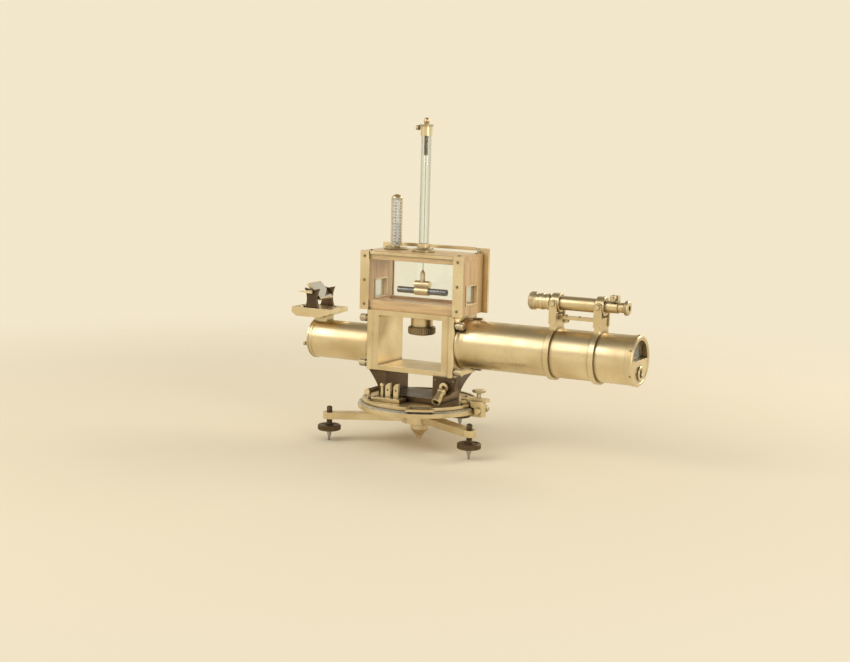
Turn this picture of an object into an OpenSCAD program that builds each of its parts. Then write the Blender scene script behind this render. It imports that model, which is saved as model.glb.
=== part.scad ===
/* [Stand] */
// Distance of each levelling foot from the vertical axis
foot_radius = 148; // [135:1:170]
// Height of the underside of the tripod arms above the foot points
arm_z = 36; // [33:0.5:42]
// Thickness of the tripod arms
arm_t = 11; // [8:0.5:14]
// Width of an arm at its rounded tip
arm_tip_w = 18; // [15:0.5:24]
// Width of an arm where it meets the hub
arm_root_w = 27; // [22:0.5:34]
// Radius of the tripod's hub
hub_r = 30; // [24:0.5:40]
// Radius of the levelling screws' shanks
shank_r = 4.75; // [3.5:0.25:6]
// How far the levelling screws stand above the arms
shank_top = 10; // [6:0.5:16]
// Radius of the levelling screws' milled discs
foot_disc_r = 19; // [15:0.5:24]
// Thickness of the milled discs
foot_disc_t = 9; // [6:0.5:11]
// Height of the underside of the milled discs
foot_disc_z = 17; // [15:0.5:18]
// Radius of the blunt foot points
foot_tip_r = 1.6; // [1.2:0.1:2.4]
// Outer radius of the axis socket under the hub
socket_r = 15.5; // [13:0.5:19]
// Height of the socket's lower rim
socket_z = 20; // [18:0.5:24]

/* [Azimuth circle] */
// Outer radius of the divided limb
limb_r = 102; // [98:0.5:112]
// Height of the limb's underside
limb_z = 58; // [56:0.5:62]
// Thickness of the limb at its rim
limb_t = 10; // [8:0.5:13]
// Thickness of the limb's web
limb_web_t = 4; // [3:0.5:6]
// Width of the limb's silvered bevel
bevel_w = 5; // [3:0.5:7]
// How far the vernier plate's edge lies inside the limb's edge
plate_inset = 7; // [5:0.5:10]
// Thickness of the vernier plate
plate_t = 3.7; // [3:0.1:5]
// Height of the vernier plate's rim above its face
plate_rim_h = 2; // [1:0.25:3]
// Width of the vernier plate's rim
plate_rim_w = 4; // [3:0.5:6]
// Radius of the vertical spindle
spindle_r = 7; // [5.5:0.5:9]
// Width of the vernier window along the limb
window_w = 46; // [36:1:54]
// How far the vernier window reaches in past the plate's rim
window_land = 4; // [2:0.5:8]
// How far the window rises from the limb's edge to its inner edge
window_rise = 6; // [5:0.5:9]
// Angle of the vernier window from the front towards the long tube
window_turn = 28; // [20:1:34]

/* [Cradle] */
// Half of the cradle's inner width
cradle_in = 44; // [38:0.5:50]
// Half of the cradle's depth
cradle_y = 38; // [32:0.5:40]
// Thickness of the cradle's floor
cradle_floor_t = 9; // [7:0.5:12]
// Thickness of the cradle's walls at the floor
cradle_wall_t = 8; // [6:0.5:11]
// Distance that the cradle's wings flare outwards
cradle_flare = 25; // [18:0.5:27]

/* [Lower frame] */
// Height of the lower frame's underside
frame_z = 119; // [112:0.5:128]
// Height of the lower frame
frame_h = 98; // [94:0.5:106]
// Half of the lower frame's outer width
frame_x = 80; // [79:0.5:86]
// Half of the lower frame's depth
frame_y = 41; // [41:0.5:46]
// Thickness of the side plates
side_t = 12; // [10:0.5:14]
// Thickness of the walls inside the side plates
frame_wall_t = 10; // [7:0.5:11]
// How far the side plates stand out past the frame in front and behind
side_over = 2.5; // [1:0.25:3]
// Thickness of the frame's floor and top
frame_plate_t = 8; // [6:0.5:10]
// Radius of the milled frame screws
frame_screw_r = 6; // [4.5:0.5:7]
// Length of the milled frame screws
frame_screw_l = 14; // [10:0.5:18]

/* [Tubes] */
// Height of the long tube's axis above the middle of the lower frame
tube_lift = 2; // [0:0.5:4]
// Distance of the short tube's axis below the long tube's
left_drop = 15; // [12:0.5:16]
// Outer radius of the long right tube
right_r = 38.5; // [36:0.25:39]
// Length of the long right tube
right_l = 290; // [270:1:320]
// Wall of both tubes
tube_wall = 2.5; // [1.5:0.25:4]
// Outer radius of the short left tube
left_r = 32; // [28:0.25:36]
// Length of the short left tube
left_l = 118; // [106:1:130]
// Thickness of the right tube's end cap
cap_t = 8; // [5:0.5:11]
// Radius of the eye lens's mount on the end cap
eye_r = 9; // [7:0.25:10.5]
// Distance of the eye lens below the tube's axis
eye_drop = 19; // [16:0.5:20]

/* [Telescope] */
// Height of the telescope's axis above the tube's axis
scope_rise = 79; // [78:0.5:84]
// Distance from the side plate to the first telescope support
support_left = 158; // [152:1:172]
// Distance between the two telescope supports
support_gap = 74; // [66:1:82]
// Radial thickness of the support bands
band_t = 4; // [3:0.25:5.5]
// Width of the support bands along the tube
band_w = 8; // [6:0.5:11]
// Width of the uprights along the tube
upright_w = 12; // [9:0.5:15]
// Thickness of the uprights
upright_t = 4.5; // [3:0.25:6]
// Radius of the telescope's main tube
scope_r = 11; // [10:0.25:12]
// Radius of the telescope's collars
collar_r = 15; // [13.5:0.25:16]
// Length of the telescope ahead of the first support
scope_front = 45; // [40:0.5:55]
// Radius of the objective cell
cell_r = 14; // [12.5:0.25:15]
// Radius of the eyepiece's draw tube
draw_r = 7.8; // [7:0.1:8.2]
// Length of the draw tube that shows
draw_l = 31; // [30:0.5:36]
// Radius of the eyepiece's disc
eyepiece_r = 11; // [9:0.25:12]
// Travel of the draw tube each way from rest
draw_out = 10; // [6:0.5:12]

/* [Magnet box] */
// Half of the magnet box's width
box_x = 88; // [84:0.5:94]
// Half of the magnet box's depth
box_y = 39; // [36:0.5:41]
// Height of the magnet box
box_h = 96; // [90:0.5:106]
// Thickness of the box's side walls
box_wall_t = 10; // [7:0.5:12]
// Thickness of the box's floor
box_floor_t = 12; // [9:0.5:14]
// Thickness of the box's top
box_top_t = 10; // [8:0.5:13]
// Width of the side windows
side_window_w = 36; // [28:0.5:44]
// Height of the side windows
side_window_h = 28; // [22:0.5:34]
// Thickness of the glass panes
glass_t = 2; // [1.5:0.1:3]
// How far the guide strips lap over the panes
guide_lap = 6.5; // [5:0.5:8]
// How far the front guides stand out past the box
front_over = 4.5; // [3:0.5:7]
// Depth of the strips that guide the panes
guide_t = 5; // [4.5:0.25:6.5]
// How far the rear guides stand out past the box
rear_over = 10; // [7:0.5:12]
// How far the rear pane and its guides stand above the box
rear_rise = 8; // [4:0.5:10]
// Radius of the milled nut that clamps the box
nut_r = 22.5; // [18:0.5:26]
// Height of the milled nut
nut_h = 12; // [9:0.5:15]
// Distance of the milled nut below the frame's top plate
nut_drop = 18; // [14:0.5:24]
// Radius of the box's spigot
spigot_r = 12; // [9:0.5:14]

/* [Suspension] */
// Radius of the flange under the suspension tube
flange_r = 18.5; // [15:0.5:22]
// Outer radius of the glass suspension tube
glass_r = 8.25; // [7:0.25:9.5]
// Wall of the suspension tube
glass_wall = 1.2; // [1:0.1:2]
// Length of the suspension tube
glass_l = 184; // [165:1:200]
// Height of the torsion head's drum
head_h = 13; // [10:0.5:16]
// Length of the suspension pin inside the tube
pin_l = 37; // [25:1:45]
// Length of the suspended magnet
magnet_l = 89; // [80:0.5:94]
// Radius of the suspended magnet
magnet_r = 5.25; // [4.5:0.25:6]
// Height of the magnet's axis above the box's underside
magnet_rise = 32; // [30:0.5:36]

/* [Thermometer] */
// Radius of the thermometer's case
therm_r = 9.5; // [7.5:0.25:10]
// Height of the thermometer's case
therm_h = 90; // [70:1:95]
// Distance of the thermometer from the suspension axis
therm_x = 58; // [45:1:62]
// Distance of the thermometer behind the suspension axis
therm_y = 12; // [0:1:16]

/* [Mirror] */
// Length of the mirror platform
table_l = 76; // [70:1:84]
// Half of the mirror platform's depth
table_y = 29; // [27.5:0.5:31]
// Thickness of the mirror platform
table_t = 15; // [12:0.5:17]
// Gap between the short tube and the mirror platform
table_gap = 6; // [4:0.5:9]
// Half of the gap between the mirror's standards
standard_in = 21.5; // [20.5:0.25:23]
// Thickness of the mirror's standards
standard_t = 5; // [3.5:0.25:6]
// Height of the mirror's axle above its platform
axle_rise = 27; // [24:0.5:32]
// Radius of the mirror's axle
axle_r = 2; // [1.5:0.25:2.5]
// Length of the mirror's glass
mirror_l = 32; // [26:0.5:34]
// Width of the mirror's glass
mirror_w = 36; // [30:0.5:36.5]
// Angle of the mirror above the horizon
mirror_tilt = 45; // [30:1:60]

/* [Small pieces] */
// Radius of the azimuth clamp screw's head
clamp_head_r = 10.5; // [8:0.5:13]
// Radius of the azimuth clamp screw's shank
clamp_shank_r = 3.5; // [2.5:0.25:4]
// Radius of the tangent screw's knob
tangent_knob_r = 5.5; // [4:0.25:7]
// Radius of the plate level's tube
level_r = 4.25; // [3.5:0.25:5]
// Length of the plate level
level_l = 50; // [40:1:56]
// Radius of the vernier magnifier's tube
lens_r = 7; // [5:0.25:7.5]
// Length of the vernier magnifier's tube
lens_l = 25; // [22:0.5:28]

/* [Hidden] */
$fn = 64;
// Gap between pieces that move past each other
slack = 0.3;
// Radial clearance of a running fit
run = 0.05;
// Overlap of tools that cut, and of solids fused in one piece
bite = 1;

hub_top = limb_z + limb_t - limb_web_t;
limb_top = limb_z + limb_t;
plate_r = limb_r - plate_inset;
plate_z = limb_top + slack;
plate_face = plate_z + plate_t;
plate_top = plate_face + plate_rim_h;
spindle_z = socket_z + 3;
foot_angles = [210, 330, 90];
frame_top_z = frame_z + frame_h;
side_in = frame_x - side_t;
frame_in = side_in - frame_wall_t;
side_y = frame_y + side_over;
axis_z = frame_z + frame_h / 2 + tube_lift;
left_axis_z = axis_z - left_drop;
scope_z = axis_z + scope_rise;
right_end = frame_x + right_l;
left_end = -frame_x - left_l;
cap_r = right_r + 1;
flange_over = 2.5;
support_a = frame_x + support_left;
support_b = support_a + support_gap;
upright_in = collar_r + slack + 0.1;
upright_out = upright_in + upright_t;
web_top = scope_z - collar_r - 3;
box_z = frame_top_z;
box_top_z = box_z + box_h;
box_in = box_x - box_wall_t;
magnet_z = box_z + magnet_rise;
nut_z = box_z - frame_plate_t - nut_drop - nut_h;
pane_x = box_x - 5;
pane_y = box_y + slack;
pane_z = box_z + 4;
groove_t = glass_t + 2 * slack;
glass_z = box_top_z + 7;
head_z = glass_z + glass_l + slack;
thread_r = 0.3;
table_z = left_axis_z + left_r + table_gap + table_t;
table_x = left_end + 2;
axle_z = table_z + axle_rise;
standard_out = standard_in + standard_t;
clamp_x = limb_r + 5;
tangent_x = limb_r + 9;
tangent_z = limb_z + 6;
clamp_bar_z = plate_face + 7;
clamp_bar_t = 5;
pivot_x = 68;
pivot_z = frame_z - 15;
pivot_y = cradle_y + 5;
focus_x = support_b + 21;
focus_z = scope_z + draw_r + 7;

// Rod along X from one place to another
module rod_x(r, x0, x1) {
    translate([x0, 0, 0]) rotate([0, 90, 0]) cylinder(r = r, h = x1 - x0);
}

// Rod along Y from one place to another
module rod_y(r, y0, y1) {
    translate([0, y1, 0]) rotate([90, 0, 0]) cylinder(r = r, h = y1 - y0);
}

// Block between two corners
module block(low, high) {
    translate(low) cube(high - low);
}

// Piece turned about X: its outline's second number is the place along X
module turned_x(outline) {
    rotate([0, 90, 0]) rotate_extrude() polygon(outline);
}

// Outline in X and Z, given its thickness along Y between two places
module slab_y(y0, y1) {
    translate([0, y1, 0]) rotate([90, 0, 0]) linear_extrude(y1 - y0) children();
}

// Outline in Y and Z, given its thickness along X between two places
module slab_x(x0, x1) {
    translate([x0, 0, 0]) rotate([90, 0, 90]) linear_extrude(x1 - x0) children();
}

// Rectangle with round corners
module rounded_rect(x0, x1, y0, y1, r) {
    translate([x0 + r, y0]) square([x1 - x0 - 2 * r, y1 - y0]);
    translate([x0, y0 + r]) square([x1 - x0, y1 - y0 - 2 * r]);
    for (x = [x0 + r, x1 - r], y = [y0 + r, y1 - r])
        translate([x, y]) circle(r = r, $fn = 32);
}

// Points of a dome that closes a turned piece, from its edge to its top
function dome(r, z, h) =
    concat([for (a = [0:15:75]) [r * cos(a), z + h * sin(a)]], [[0, z + h]]);

// Turned head with broken edges, standing on z = 0
module turned_head(r, h, edge = 0.8) {
    rotate_extrude() polygon([
        [0, 0], [r - edge, 0], [r, edge], [r, h - edge], [r - edge, h], [0, h]
    ]);
}

// Outline of one tripod arm, pointing along X
module arm_outline() {
    root = hub_r - 8;
    polygon([
        [root, -arm_root_w / 2], [foot_radius, -arm_tip_w / 2],
        [foot_radius, arm_tip_w / 2], [root, arm_root_w / 2]
    ]);
    translate([foot_radius, 0]) circle(d = arm_tip_w + 3);
}

// Cast tripod: a hub and three arms, each bored for its levelling screw
module tripod_frame() {
    color("goldenrod") difference() {
        union() {
            translate([0, 0, arm_z - 3]) cylinder(r = hub_r, h = hub_top - arm_z + 3);
            for (a = foot_angles)
                rotate(a) translate([0, 0, arm_z]) linear_extrude(arm_t) arm_outline();
        }
        translate([0, 0, arm_z - 3 - bite]) cylinder(r = socket_r, h = hub_top);
        for (a = foot_angles)
            rotate(a) translate([foot_radius, 0, arm_z - bite])
                cylinder(r = shank_r + run, h = arm_t + 2 * bite);
    }
}

// Divided circle with a silvered bevel, carried on the hub
module limb_circle() {
    bore = spindle_r + 2;
    color("khaki") rotate_extrude($fn = 128) polygon([
        [bore, hub_top], [limb_r - 17, hub_top], [limb_r - 13, limb_z],
        [limb_r, limb_z], [limb_r, limb_top - 3.5],
        [limb_r - bevel_w, limb_top], [bore, limb_top]
    ]);
}

// Socket of the vertical axis, with the round nut that closes it below
module axis_socket() {
    nut_bottom = socket_z - 14.5;
    color("peru") difference() {
        rotate_extrude() polygon(concat(
            [[0, nut_bottom], [4, nut_bottom], [5, nut_bottom + 1.5],
             [5, nut_bottom + 5.5], [7.5, nut_bottom + 7], [8.5, socket_z - 5],
             [socket_r - 1.5, socket_z], [socket_r, socket_z + 2]],
            [[socket_r, hub_top], [0, hub_top]]
        ));
        translate([0, 0, spindle_z - slack])
            cylinder(r = spindle_r + run, h = hub_top - spindle_z + bite);
    }
}

// Blunt foot point with the pivot that the levelling screw turns on
module foot_point(angle) {
    shoulder = foot_disc_z - slack;
    color("dimgray") rotate(angle) translate([foot_radius, 0, 0]) rotate_extrude() polygon([
        [0, 0], [foot_tip_r, 0], [foot_tip_r, 3], [4.4, shoulder - 3],
        [4.4, shoulder], [1.5, shoulder], [1.5, shoulder + 6], [0, shoulder + 6]
    ]);
}

// Levelling screw: shank and milled disc, bored for the foot point's pivot
module levelling_screw(angle) {
    top = arm_z + arm_t + shank_top;
    disc_top = foot_disc_z + foot_disc_t;
    collar = shank_r + 1.8;
    color("darkgoldenrod") rotate(angle) translate([foot_radius, 0, 0]) difference() {
        rotate_extrude() polygon(concat(
            [[0, foot_disc_z], [foot_disc_r - 1.5, foot_disc_z],
             [foot_disc_r, foot_disc_z + 1.5], [foot_disc_r, disc_top - 1.5],
             [foot_disc_r - 1.5, disc_top], [collar, disc_top],
             [collar, disc_top + 2], [shank_r, disc_top + 2]],
            dome(shank_r, top - 3, 3)
        ));
        translate([0, 0, foot_disc_z - bite]) cylinder(r = 1.5 + run, h = 6.3 + bite);
    }
}

// Solid of the vernier plate with its raised rim
module plate_solid() {
    rim_in = plate_r - plate_rim_w;
    rotate_extrude($fn = 128) polygon([
        [spindle_r, plate_z], [plate_r, plate_z], [plate_r, plate_top - 0.8],
        [plate_r - 0.8, plate_top], [rim_in, plate_top], [rim_in, plate_face],
        [spindle_r, plate_face]
    ]);
}

// Vernier plate that turns on the limb
module vernier_plate() {
    color("palegoldenrod") plate_solid();
}

// Window of the vernier, which slopes from the plate over its rim to the limb's edge
module vernier_window() {
    rim = plate_r - plate_rim_w;
    far = rim - window_land;
    half = window_w / 2;
    sight = half - 8;
    edge_top = plate_top - 2.2;
    color("khaki") difference() {
        rotate(window_turn) difference() {
            intersection() {
                linear_extrude(plate_top + window_rise) polygon([
                    [-half, -limb_r], [half, -limb_r], [half - 9, -far], [9 - half, -far]
                ]);
                rotate([90, 0, 90]) linear_extrude(window_w + bite, center = true) polygon([
                    [-limb_r, plate_z], [-rim, plate_z], [-rim, plate_face - bite],
                    [-far, plate_face - bite], [-far, edge_top + window_rise],
                    [-limb_r, edge_top]
                ]);
            }
            block([-sight, -limb_r + 3, plate_z - bite],
                  [sight, -rim - 0.3, plate_top + window_rise]);
        }
        plate_solid();
    }
}

// Steel spindle of the vertical axis
module axis_spindle() {
    color("silver") translate([0, 0, spindle_z])
        cylinder(r = spindle_r, h = plate_face + 5 - spindle_z);
}

// Outline of the cradle: a floor and two wings that flare outwards
module cradle_outline() {
    foot = cradle_in + cradle_wall_t;
    rise = frame_z - plate_face;
    floor_z = plate_face + cradle_floor_t;
    right = [for (t = [0:0.125:1]) [foot + cradle_flare * pow(t, 1.6), plate_face + rise * t]];
    left = [for (t = [1:-0.125:0]) [-foot - cradle_flare * pow(t, 1.6), plate_face + rise * t]];
    polygon(concat(
        right, [[cradle_in, frame_z], [cradle_in, floor_z], [-cradle_in, floor_z],
        [-cradle_in, frame_z]], left
    ));
}

// Dark casting that carries the lower frame on the vernier plate
module cradle() {
    color("darkslategray") difference() {
        slab_y(-cradle_y, cradle_y) cradle_outline();
        translate([0, 0, plate_face - bite]) cylinder(r = spindle_r, h = 5 + bite);
    }
}

level_x = -66;
level_y = -cradle_y + 2;
level_z = plate_face + 13;

// Brass case of the plate level on its two posts, open along the top
module plate_level() {
    color("goldenrod") translate([level_x, level_y, level_z]) difference() {
        union() {
            rod_y(level_r, -level_l / 2, level_l / 2);
            for (s = [-1, 1]) {
                rod_y(level_r + 0.8, s * (level_l / 2 - 2) - 2, s * (level_l / 2 - 2) + 2);
                translate([0, s * (level_l / 2 - 9), plate_face - level_z])
                    cylinder(r = 2.5, h = level_z - plate_face);
            }
        }
        rod_y(level_r - 1.1, -level_l / 2 + 2, level_l / 2 - 2);
        block([-2, -level_l / 2 + 7, 0], [2, level_l / 2 - 7, level_r + bite]);
    }
}

// Glass vial of the plate level
module level_vial() {
    color("lightcyan") translate([level_x, level_y, level_z])
        rod_y(level_r - 1.2, -level_l / 2 + 2, level_l / 2 - 2);
}

// Bracket in front of the cradle with two drilled lugs and a stop post
module lug_bracket() {
    back = -cradle_y - 3;
    face = plate_face + 6.5;
    color("darkkhaki") {
        difference() {
            union() {
                block([-55, back - 25, plate_face], [-3, back, face]);
                for (x = [-30.5, -15.5])
                    slab_y(back - 14, back - 9) polygon([
                        [x - 4.5, face], [x + 4.5, face], [x + 4.5, face + 24],
                        [x - 1, face + 22], [x - 4.5, face + 18]
                    ]);
            }
            for (x = [-30.5, -15.5])
                translate([x, 0, face + 12]) rod_y(1.5, back - 16, back - 7);
        }
        translate([-42, back - 11, face]) rotate_extrude() polygon([
            [0, 0], [2.75, 0], [2.75, 17], [4, 17], [4, 20], [2.5, 22], [0, 22]
        ]);
    }
}

// Dark plate on the cradle's right wing with the magnifier's pivot
module magnifier_bracket() {
    inner = cradle_in + 1;
    color("darkslategray") {
        slab_y(-pivot_y, -cradle_y) polygon([
            [inner, frame_z], [pivot_x + 20, frame_z], [pivot_x + 19, frame_z - 8],
            [pivot_x + 14, pivot_z - 6], [pivot_x + 7, pivot_z - 13],
            [pivot_x - 6, pivot_z - 19], [inner, pivot_z - 22]
        ]);
        translate([pivot_x, 0, pivot_z]) rod_y(3, -pivot_y - 7.3, -pivot_y);
    }
}

// Magnifier for the vernier: an eye on the pivot and a tube that looks down
module vernier_magnifier() {
    tilt = acos(0.6);
    eye_y = -pivot_y - slack;
    color("goldenrod") difference() {
        union() {
            translate([pivot_x, 0, pivot_z]) rod_y(7.5, eye_y - 7, eye_y);
            block([pivot_x - 3, eye_y - 13, pivot_z - 12], [pivot_x + 3, eye_y - 1, pivot_z - 6]);
            translate([pivot_x, -pivot_y - 12, pivot_z - 5]) rotate([180 - tilt, 0, 0])
                rotate_extrude() polygon([
                    [0, 0], [lens_r, 0], [lens_r, 4], [lens_r - 1, 5],
                    [lens_r - 1, lens_l - 9], [lens_r, lens_l - 8],
                    [lens_r, lens_l], [0, lens_l]
                ]);
        }
        translate([pivot_x, 0, pivot_z]) rod_y(3 + run, -pivot_y - 14, -pivot_y + bite);
        translate([pivot_x, -pivot_y - 12, pivot_z - 5]) rotate([180 - tilt, 0, 0])
            translate([0, 0, -bite]) cylinder(r = lens_r - 2, h = lens_l + 2 * bite);
    }
}

// Bar on the vernier plate that carries the clamp
module clamp_bar() {
    foot_x = plate_r - 17;
    tip_x = clamp_x + 14;
    color("goldenrod") difference() {
        union() {
            block([foot_x, -8, plate_face], [plate_r - plate_rim_w - 1, 8, clamp_bar_z]);
            block([foot_x, -5, clamp_bar_z], [tip_x, 5, clamp_bar_z + clamp_bar_t]);
            translate([tip_x, 0, clamp_bar_z]) cylinder(r = 5, h = clamp_bar_t);
        }
        translate([clamp_x, 0, clamp_bar_z - bite])
            cylinder(r = clamp_shank_r + run, h = clamp_bar_t + 2 * bite);
    }
}

// Clamp that grips the limb's edge, bored for its two screws
module clamp_block() {
    grip = limb_r + slack;
    bottom = limb_z - 4;
    color("darkgoldenrod") difference() {
        union() {
            block([plate_r + 1, -8, bottom], [tangent_x, 8, clamp_bar_z]);
            translate([tangent_x, 0, bottom]) cylinder(r = 8, h = clamp_bar_z - bottom);
            translate([tangent_x, 0, tangent_z]) rod_y(4.5, -14, 0);
        }
        translate([0, 0, limb_z - slack])
            cylinder(r = grip, h = limb_t + 2 * slack, $fn = 128);
        translate([clamp_x, 0, limb_top - slack])
            cylinder(r = clamp_shank_r + run, h = clamp_bar_z);
        translate([tangent_x, 0, tangent_z]) rod_y(2.5 + run, -12 - slack, 20);
    }
}

// Thumb screw that clamps the circle
module azimuth_clamp_screw() {
    head_z = clamp_bar_z + clamp_bar_t + 9;
    color("goldenrod") translate([clamp_x, 0, 0]) {
        translate([0, 0, limb_top]) cylinder(r = clamp_shank_r, h = head_z - limb_top);
        translate([0, 0, head_z]) turned_head(clamp_head_r, 4.5);
    }
}

// Slow-motion screw that lies along the limb's edge
module tangent_screw() {
    color("goldenrod") translate([tangent_x, 0, tangent_z]) {
        rod_y(2.5, -12, 13);
        translate([0, 21, 0]) rotate([90, 0, 0]) turned_head(tangent_knob_r, 8);
    }
}

// Floor plate of the lower frame
module frame_floor() {
    color("khaki") block([-frame_in, -frame_y, frame_z], [frame_in, frame_y, frame_z + frame_plate_t]);
}

// Top plate of the lower frame with the collar for the magnet box's spigot
module frame_top() {
    under = frame_top_z - frame_plate_t;
    color("khaki") difference() {
        union() {
            block([-frame_in, -frame_y, under], [frame_in, frame_y, frame_top_z]);
            translate([0, 0, nut_z + nut_h + slack])
                cylinder(r = spigot_r + 6, h = under - nut_z - nut_h);
        }
        translate([0, 0, nut_z]) cylinder(r = spigot_r, h = frame_top_z);
    }
}

// Side plate of the lower frame: rounded upright edges, and a wall inside them
module side_plate(side) {
    edge = side_t / 2 - 0.5;
    color("goldenrod") mirror([side > 0 ? 0 : 1, 0, 0]) {
        translate([0, 0, frame_z]) linear_extrude(frame_h)
            rounded_rect(side_in, frame_x, -side_y, side_y, edge);
        block([frame_in, -frame_y, frame_z], [side_in + bite, frame_y, frame_top_z]);
    }
}

module side_plate_left() {
    side_plate(-1);
}

// Right side plate, bored so that the long tube looks into the frame
module side_plate_right() {
    difference() {
        side_plate(1);
        translate([0, 0, axis_z]) rod_x(right_r - tube_wall - 3, frame_in - bite, frame_x + bite);
    }
}

// Milled screws that hold the side plates
module frame_screws() {
    across = side_y - frame_screw_r - 2;
    clear = right_r + flange_over + frame_screw_r + 1;
    low = frame_z + frame_screw_r + 3;
    high = axis_z + sqrt(clear * clear - across * across);
    color("goldenrod") for (side = [-1, 1], y = [-across, across], z = [low, high])
        translate([side * frame_x, y, z]) rotate([0, side * 90, 0]) {
            cylinder(r = frame_screw_r - 1.5, h = 3);
            translate([0, 0, 2]) turned_head(frame_screw_r, frame_screw_l - 2);
        }
}

// Short tube on the left with a flange at each end
module left_tube() {
    bore = left_r - tube_wall;
    color("goldenrod") translate([0, 0, left_axis_z]) turned_x([
        [bore, left_end], [left_r + 1, left_end], [left_r + 1, left_end + 4],
        [left_r, left_end + 5], [left_r, -frame_x - 5], [left_r + 3, -frame_x - 3.5],
        [left_r + 3, -frame_x], [bore, -frame_x]
    ]);
}

// Cap of the short tube with two small screws near its rim
module left_tube_cap() {
    color("darkgoldenrod") translate([0, 0, left_axis_z]) {
        turned_x([
            [0, left_end - 5], [left_r - 3, left_end - 5], [left_r + 1.5, left_end - 2.5],
            [left_r + 1.5, left_end], [0, left_end]
        ]);
        for (place = [[-25, -8], [-15, 0]])
            translate([0, place[0], place[1]]) {
                rod_x(1.5, left_end - 12, left_end - 3);
                translate([left_end - 8, 0, 0]) rotate([0, -90, 0]) turned_head(2.9, 5, 0.6);
            }
    }
}

// Long tube on the right with a bell flange at the side plate
module right_tube() {
    bore = right_r - tube_wall;
    color("goldenrod") translate([0, 0, axis_z]) turned_x([
        [bore, frame_x], [right_r + flange_over, frame_x],
        [right_r + flange_over, frame_x + 3],
        [right_r + 0.8, frame_x + 7], [right_r, frame_x + 14],
        [right_r, right_end - 4], [right_r + 0.7, right_end - 3.5],
        [right_r + 0.7, right_end], [bore, right_end]
    ]);
}

// Half round of the end window, above a level line
module half_round(r, low) {
    intersection() {
        circle(r = r);
        translate([-r, low]) square([2 * r, 2 * r]);
    }
}

// Cap of the long tube with its half-round window and the lens bore
module right_end_cap() {
    edge = cap_r - 1.5;
    color("khaki") difference() {
        translate([0, 0, axis_z]) turned_x([
            [0, right_end], [cap_r, right_end], [cap_r, right_end + cap_t - 2],
            [edge, right_end + cap_t], [edge - 3, right_end + cap_t],
            [edge - 4, right_end + cap_t - 1], [0, right_end + cap_t - 1]
        ]);
        translate([0, 0, axis_z]) slab_x(right_end - bite, right_end + cap_t + bite)
            half_round(cap_r - 7.5, 1.5);
        translate([0, 0, axis_z - eye_drop]) rod_x(eye_r, right_end - bite, right_end + cap_t + bite);
    }
}

// Turned mount of the eye lens, seated in the end cap
module eye_lens_mount() {
    face = right_end + cap_t - 1;
    color("goldenrod") translate([0, 0, axis_z - eye_drop]) turned_x([
        [eye_r - 2, right_end - 4], [eye_r, right_end - 4], [eye_r, face],
        [eye_r + 2.5, face], [eye_r + 2.5, face + 2], [eye_r + 1.5, face + 3],
        [eye_r - 1, face + 3], [eye_r - 2, face + 1]
    ]);
}

// Glass that stays put: end window, eye lens and the box's two side windows
module window_glasses() {
    inside = right_r - tube_wall - 0.2;
    color("lightcyan") {
        translate([0, 0, axis_z]) slab_x(right_end - glass_t, right_end) half_round(inside, -2);
        translate([0, 0, axis_z - eye_drop]) rod_x(eye_r - 2, right_end + 1, right_end + 4);
        for (side = [-1, 1])
            translate([side * (box_x - box_wall_t / 2), 0, magnet_z])
                cube([glass_t, side_window_w, side_window_h], center = true);
    }
}

// Band round the long tube with the two uprights of a telescope support
module support_band(x, pins) {
    band_r = right_r + band_t;
    color("goldenrod") difference() {
        union() {
            translate([0, 0, axis_z]) rod_x(band_r, x - band_w / 2, x + band_w / 2);
            block([x - band_w / 2, -upright_out, axis_z], [x + band_w / 2, upright_out, web_top]);
            for (side = [-1, 1]) {
                inner = side > 0 ? upright_in : -upright_out;
                block([x - upright_w / 2, inner, web_top - 14],
                      [x + upright_w / 2, inner + upright_t, scope_z]);
                translate([x, 0, scope_z]) rod_y(upright_w / 2, inner, inner + upright_t);
                translate([x, 0, scope_z])
                    rod_y(3.5, side > 0 ? upright_out - bite : -upright_out - 2.5,
                          side > 0 ? upright_out + 2.5 : bite - upright_out);
            }
        }
        translate([0, 0, axis_z]) rod_x(right_r, x - upright_w, x + upright_w);
    }
    if (pins)
        color("silver") translate([x, 0, scope_z]) for (side = [-1, 1])
            rod_y(2, side > 0 ? collar_r - 3 : -upright_in - bite,
                  side > 0 ? upright_in + bite : 3 - collar_r);
}

// Left support with the two pins that the telescope tilts on
module support_band_left() {
    support_band(support_a, true);
}

module support_band_right() {
    support_band(support_b, false);
}

// Bar between the two supports with the capstan screw of the tilt
module link_bar() {
    half = band_w / 2;
    color("goldenrod") {
        block([support_a + half, -6, web_top - 7], [support_b - half, 6, web_top - 2]);
        translate([support_a + 16, 0, web_top - 12]) turned_head(4.5, 5);
        translate([support_a + 16, 0, web_top - 2]) cylinder(r = 2, h = 2.5);
    }
}

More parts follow.
